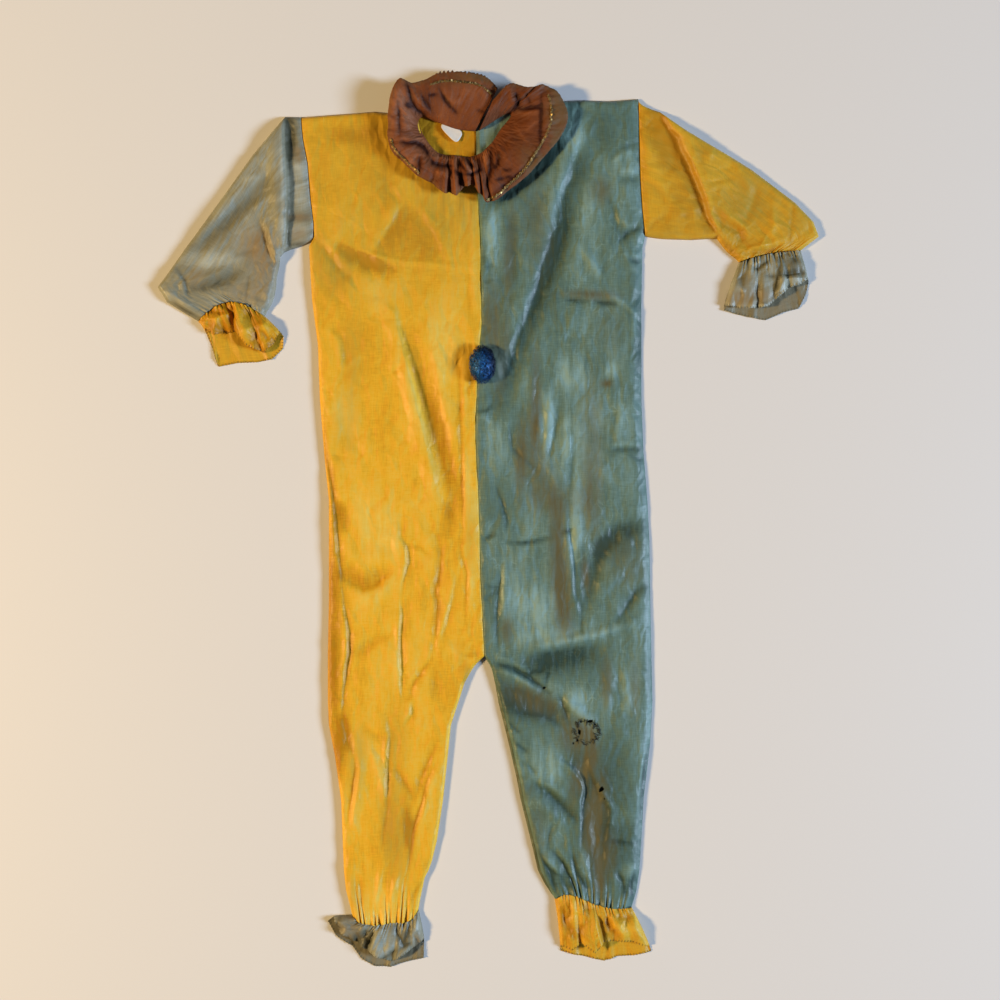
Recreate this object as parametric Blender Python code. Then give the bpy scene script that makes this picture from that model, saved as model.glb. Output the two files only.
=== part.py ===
"""A child's one-piece clown costume in two colours of taffeta, laid flat on its back.

+X points to the teal half, +Y to the collar, and z = 0 is the surface that it lies on.
Sizes are in millimetres until a mesh is made. Cloth is a wall: a panel is a height field
over its cut outline, and a sleeve or ruffle is a tube whose lower half lies on the surface.
"""

import math
from collections import namedtuple

import bmesh
import bpy
import numpy as np
from mathutils import Vector

MM = 0.001

# Cloth and seams
WALL = 1.4
SEAM_GAP = 0.35
WRIST_GAP = 0.8
BACK_INSET = 1.3
FRONT_LIE = WALL + 0.5
EDGE_ROLL = 11.0
CROWN = 3.2
SEAM_SHARE = 0.6

# Rows of the tables below, in millimetres on the laid garment
Edge = namedtuple("Edge", "y x")
Rim = namedtuple("Rim", "x y")
Fold = namedtuple("Fold", "from_x from_y to_x to_y half_width height")
Ring = namedtuple("Ring", "top_x top_y low_x low_y")
Hem = namedtuple("Hem", "back_x back_y front_x front_y")
Station = namedtuple("Station", "neck_x neck_y edge_x edge_y edge_z pleat")

CROTCH_Y = -149.0
CHEST_Y = 330.0
CALF_Y = -385.0

CENTRE_SEAM = [
    Edge(394, -12.5), Edge(356, -11.5), Edge(307, -8.3), Edge(219, -7.2), Edge(192, -9.4),
    Edge(137, -12.7), Edge(98, -13.8), Edge(65, -12.7), Edge(21, -10.5), Edge(-66, -8.3),
    Edge(-149, -4.0),
]
YELLOW_INSIDE = CENTRE_SEAM + [
    Edge(-156, -11), Edge(-163, -17), Edge(-179, -26), Edge(-199, -32.5), Edge(-226, -41.3),
    Edge(-259, -44.6), Edge(-309, -50), Edge(-353, -56.7), Edge(-375, -62), Edge(-397, -69.9),
    Edge(-446, -77),
]
TEAL_INSIDE = CENTRE_SEAM + [
    Edge(-163, 3.5), Edge(-179, 8.5), Edge(-199, 13.8), Edge(-243, 24.8), Edge(-281, 33.6),
    Edge(-309, 39), Edge(-353, 50), Edge(-386, 57.8), Edge(-426, 73),
]
YELLOW_SIDE = [
    Edge(441.7, -206.3), Edge(417.5, -204), Edge(390, -198.6), Edge(351, -195.3),
    Edge(324, -192), Edge(309, -192.5), Edge(300, -197.5), Edge(241, -194), Edge(192, -187.6),
    Edge(131, -185.4), Edge(65, -180), Edge(21, -175.5), Edge(-89, -175.5), Edge(-149, -176.6),
    Edge(-199, -176.6), Edge(-226, -175.5), Edge(-259, -169), Edge(-309, -162),
    Edge(-386, -159), Edge(-413, -156.8), Edge(-446, -150),
]
TEAL_SIDE = [
    Edge(461.5, 164.5), Edge(417, 165.6), Edge(373, 166.7), Edge(340, 168.9), Edge(312, 172),
    Edge(299, 169), Edge(241, 167.8), Edge(131, 167.8), Edge(76, 170), Edge(21, 174.4),
    Edge(-23, 176.6), Edge(-89, 177.7), Edge(-149, 178.8), Edge(-199, 179.9), Edge(-243, 177.7),
    Edge(-281, 173.3), Edge(-309, 170), Edge(-353, 167.8), Edge(-386, 165.6), Edge(-408, 162.3),
    Edge(-426, 157),
]
SHOULDER_YELLOW = [Rim(-206.3, 441.7), Rim(-163, 445), Rim(-125, 448), Rim(-108, 446)]
SHOULDER_TEAL = [Rim(81, 459), Rim(106, 460), Rim(134, 459), Rim(164.5, 461.5)]
NECK_FRONT = [
    Rim(-78, 440), Rim(-74, 423), Rim(-64, 408), Rim(-50, 397), Rim(-30, 394), Rim(-12, 394),
    Rim(2, 403), Rim(12, 418), Rim(29, 443),
]
NECK_BACK = [
    Rim(-78, 440), Rim(-64, 439), Rim(-53, 437), Rim(-42, 434), Rim(-31, 430), Rim(-16, 426),
    Rim(-1, 433), Rim(13, 437), Rim(29, 443),
]
ANKLE_YELLOW = [
    Rim(-152, -433), Rim(-141, -441), Rim(-125, -444), Rim(-108, -441), Rim(-92, -441),
    Rim(-83, -437), Rim(-75, -426),
]
ANKLE_TEAL = [
    Rim(74, -416), Rim(82, -410), Rim(95, -411), Rim(117, -421), Rim(134, -425), Rim(157, -426),
]

# The largest folds: a positive height is a ridge, a negative one a trough
YELLOW_FOLDS = [
    Fold(-97, 197, -64, 87, 12, -5), Fold(-64, 87, -34, 10, 11, -4.5),
    Fold(-124, 190, -92, 70, 17, 4), Fold(-30, 190, -30, -30, 7, 3),
    Fold(-24, -66, -25, -130, 7, 3.5), Fold(-88, -28, -96, -198, 8, 5),
    Fold(-96, -198, -108, -275, 8, 4), Fold(-46, -88, -60, -154, 7, -3),
    Fold(-163, 304, -103, 272, 10, 4.5), Fold(-97, 351, -125, 296, 10, 4),
    Fold(-150, -20, -125, -75, 12, 4), Fold(-181, 98, -165, -33, 5, -3),
    Fold(-165, -33, -156, -138, 5, -3), Fold(-156, -138, -148, -264, 6, -3),
    Fold(-97, -264, -81, -300, 8, 4), Fold(-70, -300, -92, -385, 8, 4.5),
    Fold(-140, -300, -132, -390, 9, 4),
]
TEAL_FOLDS = [
    Fold(123, 423, 79, 330, 13, -4.5), Fold(79, 330, 46, 230, 13, -5.5),
    Fold(46, 230, 4, 115, 12, -5), Fold(54, 335, 22, 235, 15, 4.5),
    Fold(100, 300, 72, 220, 14, 3.5), Fold(79, 241, 139, 236, 6, 3),
    Fold(18, -28, 84, -16, 6, 3), Fold(128, 76, 166, 76, 6, 2.5),
    Fold(87, 0, 95, -116, 8, 4), Fold(13, -45, 11, -132, 6, 3),
    Fold(7, -152, 46, -171, 8, 5), Fold(46, -171, 80, -193, 8, 6),
    Fold(80, -193, 96, -228, 8, 4.5), Fold(50, -140, 140, -152, 15, -4),
    Fold(42, -292, 98, -328, 7, 4), Fold(112, -245, 128, -400, 10, -4),
    Fold(143, -290, 144, -395, 9, 4), Fold(150, 20, 156, -90, 12, 3.5),
]
YELLOW_SLEEVE_FOLDS = [
    Fold(193, 440, 213, 405, 8, 6), Fold(213, 405, 232, 355, 8, 7),
    Fold(232, 355, 250, 312, 8, 6), Fold(196, 400, 226, 322, 10, -4),
    Fold(240, 338, 277, 306, 7, 5), Fold(300, 385, 335, 330, 12, 4),
    Fold(333, 344, 330, 302, 6, 4),
]
SILVER_SLEEVE_FOLDS = [
    Fold(-225, 440, -223, 300, 8, 6), Fold(-208, 425, -206, 320, 7, -4),
    Fold(-262, 385, -300, 315, 13, 4), Fold(-250, 330, -262, 262, 10, -3.5),
    Fold(-334, 256, -331, 242, 6, 4), Fold(-290, 290, -310, 240, 9, 4),
]

YELLOW_SLEEVE_RINGS = [
    Ring(164.5, 461.5, 172, 312), Ring(188, 448, 192, 308), Ring(216, 428, 222, 307),
    Ring(238, 415, 239, 308), Ring(262, 401, 251, 308), Ring(288, 385, 257, 300),
    Ring(312, 367, 262, 294), Ring(337, 348, 266, 290.5), Ring(357, 327, 270, 287.5),
    Ring(363, 311, 273, 285), Ring(343, 295.5, 275, 282.5),
]
SILVER_SLEEVE_RINGS = [
    Ring(-206.3, 441.7, -192.5, 309), Ring(-223, 442, -217, 297), Ring(-240, 422, -224, 294),
    Ring(-258, 401, -229, 289), Ring(-286, 362, -230, 280), Ring(-312, 326, -233, 266),
    Ring(-334, 296, -234, 253), Ring(-352, 270, -236, 244), Ring(-363, 255, -239, 236),
    Ring(-353, 239, -243, 230), Ring(-318.5, 218, -246, 223.5),
]
# A drawn-in wrist: how far its upper seam bows up the sleeve, and which way the sleeve lies
Wrist = namedtuple("Wrist", "rings bow sleeve_side")
YELLOW_SLEEVE_WRIST = Wrist(YELLOW_SLEEVE_RINGS, 3.0, -1)
SILVER_SLEEVE_WRIST = Wrist(SILVER_SLEEVE_RINGS, 18.0, 1)

# Each ruffle's hem from its outer to its inner side: the layer below, and the one on top
SILVER_ANKLE_HEM = [
    Hem(-177, -440, -170, -436), Hem(-168, -457, -162, -452), Hem(-150, -468, -146, -462),
    Hem(-140, -482, -134, -470), Hem(-125, -491, -121, -478), Hem(-107, -491, -105, -484),
    Hem(-90, -486, -88, -472), Hem(-70, -481, -71, -460),
]
YELLOW_ANKLE_HEM = [
    Hem(79, -474, 80, -467), Hem(91, -477, 92, -471), Hem(106, -480, 102, -463),
    Hem(118, -483, 117, -474), Hem(127, -485, 126, -462), Hem(141, -480, 143, -461),
    Hem(158, -479, 157, -462), Hem(180, -474, 176, -468),
]
YELLOW_WRIST_HEM = [
    Hem(-311, 207, -311, 211), Hem(-304, 190, -300, 202), Hem(-297, 168, -290, 205),
    Hem(-276, 172, -276, 206), Hem(-254, 173, -264, 190), Hem(-238, 176, -246, 183),
    Hem(-226, 188, -236, 192), Hem(-225, 202, -229, 205),
]
SILVER_WRIST_HEM = [
    Hem(352, 261, 351, 264), Hem(349, 248, 341, 257), Hem(341, 232, 330, 254),
    Hem(325, 228, 318, 244), Hem(304, 219, 306, 233), Hem(288, 222, 293, 231),
    Hem(271, 226, 275, 231), Hem(258, 230, 259, 235),
]

# The collar from the left of the back slit round the front to the right of it
COLLAR = [
    Station(-16, 427, 0, 470, 9, 0.2), Station(-32, 431, -10, 485, 9, 0.25),
    Station(-52, 437, -40, 487, 10, 0.3), Station(-68, 441, -63, 482, 13, 0.5),
    Station(-76, 442, -82, 478, 16, 1.0), Station(-80, 438, -99, 474, 17, 1.0),
    Station(-80, 432, -106, 453, 15, 0.8), Station(-78, 425, -108, 427, 14, 1.1),
    Station(-73, 417, -105, 404, 14, 0.9), Station(-66, 408, -91, 387, 14, 1.2),
    Station(-57, 400, -69, 371, 13, 1.0), Station(-46, 396, -44, 357, 13, 1.2),
    Station(-34, 395, -26, 362, 14, 1.1), Station(-23, 394.5, -13, 358, 13, 1.1),
    Station(-12.5, 395, 1, 348, 12, 0.9), Station(-4, 399, 24, 359, 12, 0.7),
    Station(4, 406, 45, 381, 12, 0.7), Station(10, 415, 62, 400, 13, 0.6),
    Station(16, 424, 79, 419, 13, 0.7), Station(23, 433, 86, 440, 14, 0.8),
    Station(29, 442, 79, 458, 15, 0.9), Station(26, 446, 61, 470, 16, 1.0),
    Station(17, 442, 42, 470, 16, 1.1), Station(7, 438, 26, 470, 16, 0.9),
    Station(-3, 434, 13, 462, 14, 0.6),
]
COLLAR_PLEATS = 24
COLLAR_COLUMNS = 4 * COLLAR_PLEATS
COLLAR_ROWS = 5
COLLAR_WALL = 1.2
COLLAR_NECK_Z = 6.7
COLLAR_ARCH = 8.0
BRAID_FROM, BRAID_TO = 0.15, 0.55
BRAID_THICK = 0.8
BRAID_STRETCHES = {"braid_back_left": (0.02, 0.40), "braid_right": (0.60, 0.86)}

POMPOM_X, POMPOM_Y = -8.0, 169.0
POMPOM_RADII = (11.0, 17.0, 7.5)
STRAND_LENGTH = 5.0
STRAND_SHARE = 0.45
STRAND_LEAST_UP = -0.05

LABEL_X, LABEL_Y, LABEL_TURN = -41.0, 426.0, -0.2
LABEL_SIZE = (22.0, 12.0, 1.0)

# Rips in the teal leg that are wider than 4 mm: centre, half length, half width
Rip = namedtuple("Rip", "x y half_length half_width turn")
RIPS = [
    Rip(124, -295, 3.6, 2.6, 1.2), Rip(109, -220.5, 3.4, 2.2, 0.2), Rip(98.5, -232, 2.3, 3.2, 0.1),
]
RIP_SIDES = 8


def mix(a, b, share):
    return a + (b - a) * share


def across_rows(rows, y):
    """x of an edge table at height y."""
    table = sorted(rows)
    return float(np.interp(y, [row.y for row in table], [row.x for row in table]))


def along_rim(rows, x):
    """y of a top or bottom edge at x."""
    return float(np.interp(x, [row.x for row in rows], [row.y for row in rows]))


def roll(distance, reach=EDGE_ROLL):
    """0 at an edge, rising to 1 as a sheet rounds over."""
    return math.sqrt(max(0.0, 1.0 - max(0.0, 1.0 - distance / reach) ** 2))


def relief(folds, x, y):
    """Height that the folds add at a point of the laid cloth."""
    total = 0.0
    for fold in folds:
        run = Vector((fold.to_x - fold.from_x, fold.to_y - fold.from_y))
        here = Vector((x - fold.from_x, y - fold.from_y))
        share = min(1.0, max(0.0, here.dot(run) / run.length_squared))
        away = (here - run * share).length
        total += fold.height * math.exp(-((away / fold.half_width) ** 2))
    return total


def pucker(share, waves, phase):
    """Uneven gathers across a drawn-in edge, between -1 and 1."""
    bend = share + 0.012 * math.sin(5.3 * share * math.tau + phase)
    return math.sin(waves * bend * math.tau + phase) * (0.8 + 0.2 * math.sin(17 * share + phase))


def cloth_material(name, colour, roughness, metallic=0.0):
    material = bpy.data.materials.new(name)
    material.use_nodes = True
    shader = material.node_tree.nodes["Principled BSDF"]
    shader.inputs["Base Color"].default_value = (*colour, 1.0)
    shader.inputs["Roughness"].default_value = roughness
    shader.inputs["Metallic"].default_value = metallic
    material.diffuse_color = (*colour, 1.0)
    return material


def add_object(name, bm, material):
    mesh = bpy.data.meshes.new(name)
    bmesh.ops.recalc_face_normals(bm, faces=bm.faces)
    bm.to_mesh(mesh)
    bm.free()
    mesh.materials.append(material)
    thing = bpy.data.objects.new(name, mesh)
    bpy.context.scene.collection.objects.link(thing)
    return thing


def mapped_grid(columns, rows, place):
    """A grid whose point in column i and row j stands at place(i, j), in millimetres."""
    bm = bmesh.new()
    bmesh.ops.create_grid(bm, x_segments=columns, y_segments=rows, size=0.5)
    for vert in bm.verts:
        column = round((vert.co.x + 0.5) * columns)
        row = round((vert.co.y + 0.5) * rows)
        vert.co = Vector(place(column, row)) * MM
    return bm


# Body panels
Half = namedtuple("Half", "side inside neck shoulder ankle folds top_y low_y waves phase")
YELLOW = Half(
    YELLOW_SIDE, YELLOW_INSIDE, SHOULDER_YELLOW, NECK_FRONT, ANKLE_YELLOW, YELLOW_FOLDS,
    441.7, -446.0, 9, 0.4,
)
TEAL = Half(
    TEAL_SIDE, TEAL_INSIDE, NECK_FRONT, SHOULDER_TEAL, ANKLE_TEAL, TEAL_FOLDS,
    461.5, -426.0, 10, 1.9,
)
# Rows of points: rises close above the ankle, then how many on the leg, body and shoulder
Rows = namedtuple("Rows", "ankle_rises leg body shoulder")
FRONT_ROWS = Rows((0, 7, 15, 25, 40), 11, 20, 6)
BACK_ROWS = Rows((0,), 6, 10, 4)
FRONT_COLUMNS = 17
BACK_COLUMNS = 8
GATHER_RISE = 3.2
GATHER_DEPTH = 2.6
GATHER_REACH = 26.0
SLIT_TOP_GAP = 5.0
SLIT_LENGTH = 60.0


def row_levels(half, rows):
    """Height on the body of each row of points. Both halves share those above the legs."""
    ankle = [half.low_y + rise for rise in rows.ankle_rises]
    leg = np.linspace(ankle[-1], CROTCH_Y, rows.leg + 1)[1:]
    body = np.linspace(CROTCH_Y, CHEST_Y, rows.body + 1)[1:]
    shoulder = np.linspace(CHEST_Y, half.top_y, rows.shoulder + 1)[1:]
    return [float(level) for level in (*ankle, *leg, *body, *shoulder)]


def top_edge(half, neck, x):
    rim = sorted(set(half.neck) | set(half.shoulder))
    if neck is not NECK_FRONT:
        rim = sorted((set(rim) - set(NECK_FRONT)) | set(neck))
    return along_rim(rim, x)


def panel_plan(half, neck, share, level, inset):
    """Place on the laid panel: share runs from the side to the centre, level up the body."""
    centre_y = level
    if level > CHEST_Y:
        rise = (level - CHEST_Y) / (half.top_y - CHEST_Y)
        centre_y = mix(CHEST_Y, along_rim(neck, -12.5), rise)
    side = across_rows(half.side, level)
    inside = across_rows(half.inside, centre_y)
    towards = 1.0 if inside > side else -1.0
    x = mix(side + towards * inset, inside - towards * inset, share)
    y = level
    if level > CHEST_Y:
        y = mix(CHEST_Y, top_edge(half, neck, x), rise)
    elif level < CALF_Y:
        fall = (CALF_Y - level) / (CALF_Y - half.low_y)
        y = mix(CALF_Y, along_rim(half.ankle, x), fall)
    return x, y, abs(x - side), abs(x - inside)


def front_height(half, share, x, y, from_side, from_inside):
    """Height of the front panel's face above the surface."""
    above_ankle = max(0.0, y - along_rim(half.ankle, x))
    below_top = max(0.0, top_edge(half, NECK_FRONT, x) - y)
    seam = SEAM_SHARE * min(1.0, max(0.0, (y - CROTCH_Y) / 50.0 + 1.0))
    inside = seam + (1.0 - seam) * roll(from_inside)
    hold = roll(from_side) * inside * (0.35 + 0.65 * roll(below_top, 16.0))
    hold *= min(1.0, 0.4 + above_ankle / 60.0)
    lift = (CROWN + relief(half.folds, x, y)) * hold
    gathered = math.exp(-above_ankle / GATHER_REACH) * min(1.0, 6.0 * share, 6.0 * (1.0 - share))
    lift += gathered * (GATHER_RISE + GATHER_DEPTH * pucker(share, half.waves, half.phase))
    return FRONT_LIE + max(0.0, lift) + WALL


def front_panel(name, half, material):
    levels = row_levels(half, FRONT_ROWS)

    def place(column, row):
        share = column / FRONT_COLUMNS
        x, y, side, inside = panel_plan(half, NECK_FRONT, share, levels[row], SEAM_GAP / 2)
        return x, y, front_height(half, share, x, y, side, inside)

    bm = mapped_grid(FRONT_COLUMNS, len(levels) - 1, place)
    return add_object(name, thicken(bm, WALL), material)


def thicken(bm, wall):
    """Give a laid sheet its wall, straight down from its face."""
    lower = bmesh.ops.extrude_face_region(bm, geom=bm.faces[:])
    verts = [item for item in lower["geom"] if isinstance(item, bmesh.types.BMVert)]
    bmesh.ops.translate(bm, verts=verts, vec=(0.0, 0.0, -wall * MM))
    return bm


def back_panel(name, half, material):
    levels = row_levels(half, BACK_ROWS)

    def place(column, row):
        share = column / BACK_COLUMNS
        x, y, _, _ = panel_plan(half, NECK_BACK, share, levels[row], SEAM_GAP / 2)
        below_neck = along_rim(NECK_BACK, x) - y
        opened = max(0.0, 1.0 - below_neck / SLIT_LENGTH) * SLIT_TOP_GAP / 2
        x += math.copysign(opened * share, half.side[0].x)
        x -= math.copysign(BACK_INSET * (1.0 - share), half.side[0].x)
        return x, max(y, along_rim(half.ankle, x) + BACK_INSET), WALL

    bm = mapped_grid(BACK_COLUMNS, len(levels) - 1, place)
    return add_object(name, thicken(bm, WALL), material)


def cut_rips(panel):
    """Cut each rip through the front's wall with its own upright prism."""
    for number, rip in enumerate(RIPS, start=1):
        bm = bmesh.new()
        bmesh.ops.create_cone(
            bm, cap_ends=True, segments=RIP_SIDES, radius1=MM, radius2=MM, depth=60 * MM,
        )
        bmesh.ops.scale(bm, verts=bm.verts, vec=(rip.half_length, rip.half_width, 1.0))
        cutter = add_object(f"rip_cutter_{number}", bm, panel.data.materials[0])
        cutter.location = (rip.x * MM, rip.y * MM, 10 * MM)
        cutter.rotation_euler.z = rip.turn
        cutter.hide_render = True
        cutter.display_type = "WIRE"
        cut = panel.modifiers.new(f"rip_{number}", "BOOLEAN")
        cut.operation = "DIFFERENCE"
        cut.object = cutter


# Sleeves and ruffles: tubes laid flat
TUBE_EDGE = 2 * WALL + 0.8
LOWER_TUCK = 0.6
SLEEVE_ACROSS = 18
SLEEVE_UNDER = 8
SLEEVE_ALONG = 10
SLEEVE_FULLNESS = 1.2
Tube = namedtuple("Tube", "plan height lower across under along")


def laid_tube(name, tube, material):
    """Wall of a tube laid flat. plan(share, run, layer) is a place, height(share, run) its top.

    The wall's outer skin runs from the first end to the last, and its inner skin back again.
    """
    around = tube.across + tube.under + 2
    stations = 2 * (tube.along + 1)

    def place(column, row):
        column %= around
        row %= stations
        outer = row <= tube.along
        run = row / tube.along if outer else (stations - 1 - row) / tube.along
        top = column <= tube.across
        share = column / tube.across if top else (around - 1 - column) / tube.under
        begin = Vector(tube.plan(0.0, run, top))
        end = Vector(tube.plan(1.0, run, top))
        inset = (0.0 if outer else WALL) + (0.0 if top else LOWER_TUCK)
        inset /= (end - begin).length
        share = mix(inset, 1.0 - inset, share)
        x, y = tube.plan(share, run, top)
        low = tube.lower(share, run)
        if top:
            z = max(tube.height(share, run, x, y), low + TUBE_EDGE)
            return x, y, z if outer else z - WALL
        return x, y, low if outer else low + WALL

    bm = mapped_grid(around, stations, place)
    bmesh.ops.remove_doubles(bm, verts=bm.verts, dist=1e-6)
    return add_object(name, bm, material)


def ring_ends(rings, run):
    """Both ends of the flattened ring at this share of the sleeve's run."""
    at = run * (len(rings) - 1)
    places = range(len(rings))
    return [float(np.interp(at, places, column)) for column in zip(*rings)]


def up_the_sleeve(wrist):
    """Direction from the wrist to the sleeve, square to the wrist's line."""
    top_x, top_y, low_x, low_y = wrist.rings[-1]
    return Vector((top_y - low_y, low_x - top_x)).normalized() * wrist.sleeve_side


def wrist_point(wrist, share, top, beyond=0.0):
    """Place on a sleeve's drawn-in wrist, or a little beyond it."""
    last = wrist.rings[-1]
    bow = wrist.bow * math.sin(math.pi * share) if top else 0.0
    return Vector(last[:2]).lerp(Vector(last[2:]), share) + up_the_sleeve(wrist) * (bow - beyond)


def side_line(half, y):
    """x of the front panel's own edge at y, on the straight lines between its rows."""
    levels = row_levels(half, FRONT_ROWS)
    return float(np.interp(y, levels, [across_rows(half.side, level) for level in levels]))


def sleeve(name, wrist, half, folds, waves, material):
    rings = wrist.rings
    first_run = 1.0 / (len(rings) - 1)
    last_run = 1.0 - first_run

    def plan(share, run, top):
        top_x, top_y, low_x, low_y = ring_ends(rings, run)
        x, y = mix(top_x, low_x, share), mix(top_y, low_y, share)
        sewn = max(0.0, 1.0 - run / first_run)
        seam_x = side_line(half, y)
        x += sewn * (seam_x + math.copysign(SEAM_GAP, seam_x) - x)
        bow = wrist.bow * math.sin(math.pi * share) * max(0.0, 2.5 * run - 1.5)
        bend = Vector((x, y)) + up_the_sleeve(wrist) * (bow if top else 0.0)
        drawn = max(0.0, (run - last_run) / first_run)
        bend = bend.lerp(wrist_point(wrist, share, top), drawn)
        return bend.x, bend.y

    def height(share, run, x, y):
        top_x, top_y, low_x, low_y = ring_ends(rings, run)
        width = math.hypot(top_x - low_x, top_y - low_y)
        edge = roll(min(share, 1.0 - share) * width, 14.0)
        ends = 0.55 + 0.45 * min(1.0, 5.0 * run, 6.0 * (1.0 - run))
        drawn = max(0.0, 1.0 - (1.0 - run) / 0.22) * min(1.0, 6 * share, 6 * (1 - share))
        lift = (CROWN + SLEEVE_FULLNESS + relief(folds, x, y)) * edge * ends
        return TUBE_EDGE + lift + drawn * GATHER_DEPTH * pucker(share, waves, 0.8)

    tube = Tube(plan, height, lambda share, run: 0.0, SLEEVE_ACROSS, SLEEVE_UNDER, SLEEVE_ALONG)
    return laid_tube(name, tube, material)


RUFFLE_RISE = 6.5
RUFFLE_DEPTH = 3.0
HEM_LIFT = 2.2
ANKLE_ACROSS = 2 * FRONT_COLUMNS
WRIST_ACROSS = 2 * SLEEVE_ACROSS
RUFFLE_UNDER = 12
RUFFLE_ALONG = 3


def ruffle(name, gather, hem, across, waves, phase, material):
    """Gathered tube from its drawn-in edge, gather(share, top), to its hem."""
    places = np.linspace(0.0, 1.0, len(hem))

    def plan(share, run, top):
        back_x, back_y, front_x, front_y = [
            float(np.interp(share, places, column)) for column in zip(*hem)
        ]
        end = (front_x, front_y) if top else (back_x, back_y)
        flare = math.sin(run * math.pi / 2) * mix(0.9, 1.0, run)
        spread = Vector(gather(share, top)).lerp(Vector(end), run)
        wider = Vector(gather(share, top)).lerp(Vector(end), flare)
        return mix(spread.x, wider.x, 0.35), spread.y

    def height(share, run, x, y):
        edge = roll(min(share, 1.0 - share), 0.16)
        swell = math.sin(math.pi * (0.12 + 0.72 * run))
        deep = RUFFLE_DEPTH * (0.75 + 0.35 * run)
        return TUBE_EDGE + edge * (RUFFLE_RISE * swell + deep * pucker(share, waves, phase))

    def lower(share, run):
        return max(0.0, HEM_LIFT * run * run * pucker(share, 4, phase + 2.0))

    tube = Tube(plan, height, lower, across, RUFFLE_UNDER, RUFFLE_ALONG)
    return laid_tube(name, tube, material)


def ankle_gather(half, share):
    """Place just past the front's drawn-in ankle, on the lines between its columns."""
    ankle = [
        panel_plan(half, NECK_FRONT, column / FRONT_COLUMNS, half.low_y, SEAM_GAP / 2)[:2]
        for column in range(FRONT_COLUMNS + 1)
    ]
    at = share * FRONT_COLUMNS
    x, y = [float(np.interp(at, range(FRONT_COLUMNS + 1), column)) for column in zip(*ankle)]
    return x, y - SEAM_GAP


# Collar and its braid
def collar_station(around):
    """The collar's table read smoothly at a share of its length, as a Station."""
    at = around * (len(COLLAR) - 1)
    first = min(int(at), len(COLLAR) - 2)
    share = at - first
    rows = [COLLAR[min(max(first + k, 0), len(COLLAR) - 1)] for k in (-1, 0, 1, 2)]
    values = []
    for before, start, stop, after in zip(*rows):
        out, into = (stop - before) / 2, (after - start) / 2
        curve = start + share * out
        curve += share**2 * (3 * (stop - start) - 2 * out - into)
        curve += share**3 * (2 * (start - stop) + out + into)
        values.append(curve)
    return Station(*values)


def collar_point(around, run):
    """Middle of the collar's wall: around runs along the neck, run from neck to free edge."""
    station = collar_station(around)
    turn = around * COLLAR_PLEATS * math.tau
    turn += 1.3 * math.sin(around * 23.0) + 0.9 * math.sin(around * 41.0 + 1.0)
    wave = math.sin(turn) * station.pleat
    neck = Vector((station.neck_x, station.neck_y))
    edge = Vector((station.edge_x, station.edge_y))
    outward = (edge - neck).normalized()
    flat = neck.lerp(edge, run) + outward * (2.0 * wave * run)
    rise = math.sin(0.92 * math.pi * run) ** 0.8
    z = mix(COLLAR_NECK_Z, station.edge_z, run) + COLLAR_ARCH * rise
    z += wave * (0.7 + 3.9 * run**0.8)
    return Vector((flat.x, flat.y, z))


def collar_hem(column, share):
    """Place and normal on the collar's outermost row of faces, share of the way to its edge."""
    last = (COLLAR_ROWS - 1) / COLLAR_ROWS
    before, here, after = [
        (collar_point(k / COLLAR_COLUMNS, last), collar_point(k / COLLAR_COLUMNS, 1.0))
        for k in (column - 1, column, column + 1)
    ]
    along = after[0].lerp(after[1], share) - before[0].lerp(before[1], share)
    normal = along.cross(here[1] - here[0]).normalized()
    return here[0].lerp(here[1], share), normal if normal.z > 0 else -normal


def collar(name, material):
    def place(column, row):
        return collar_point(column / COLLAR_COLUMNS, row / COLLAR_ROWS)

    thing = add_object(name, mapped_grid(COLLAR_COLUMNS, COLLAR_ROWS, place), material)
    wall = thing.modifiers.new("wall", "SOLIDIFY")
    wall.thickness = COLLAR_WALL * MM
    wall.offset = 0.0
    return thing


def braid(name, start, stop, material):
    """Narrow braid on the collar's face, made from the collar's own points moved out."""
    first, last = round(start * COLLAR_COLUMNS), round(stop * COLLAR_COLUMNS)
    off = COLLAR_WALL / 2 + 2 * SEAM_GAP + BRAID_THICK / 2

    def place(column, row):
        at, normal = collar_hem(first + column, BRAID_TO if row else BRAID_FROM)
        return at + normal * off

    thing = add_object(name, mapped_grid(last - first, 1, place), material)
    wall = thing.modifiers.new("wall", "SOLIDIFY")
    wall.thickness = BRAID_THICK * MM
    wall.offset = 0.0
    return thing


# Pompom and label
def pompom(name, seat_z, material):
    """Tinsel strands drawn out of the faces of a round core, upwards and outwards."""
    bm = bmesh.new()
    bmesh.ops.create_icosphere(bm, subdivisions=2, radius=1.0)
    faces = [face for face in bm.faces if face.normal.z > STRAND_LEAST_UP]
    outward = {face: face.normal.copy() for face in faces}
    bmesh.ops.scale(bm, verts=bm.verts, vec=[radius * MM for radius in POMPOM_RADII])
    bmesh.ops.inset_individual(bm, faces=faces, thickness=STRAND_SHARE * MM, use_even_offset=True)
    for face in faces:
        grown = bmesh.ops.extrude_discrete_faces(bm, faces=[face])["faces"][0]
        bend = outward[face] if face in outward else grown.normal
        tip = grown.calc_center_median() + bend * STRAND_LENGTH * MM
        bmesh.ops.pointmerge(bm, verts=grown.verts[:], merge_co=tip)
    bmesh.ops.translate(
        bm, verts=bm.verts,
        vec=(POMPOM_X * MM, POMPOM_Y * MM, (seat_z + POMPOM_RADII[2]) * MM),
    )
    return add_object(name, bm, material)


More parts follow.
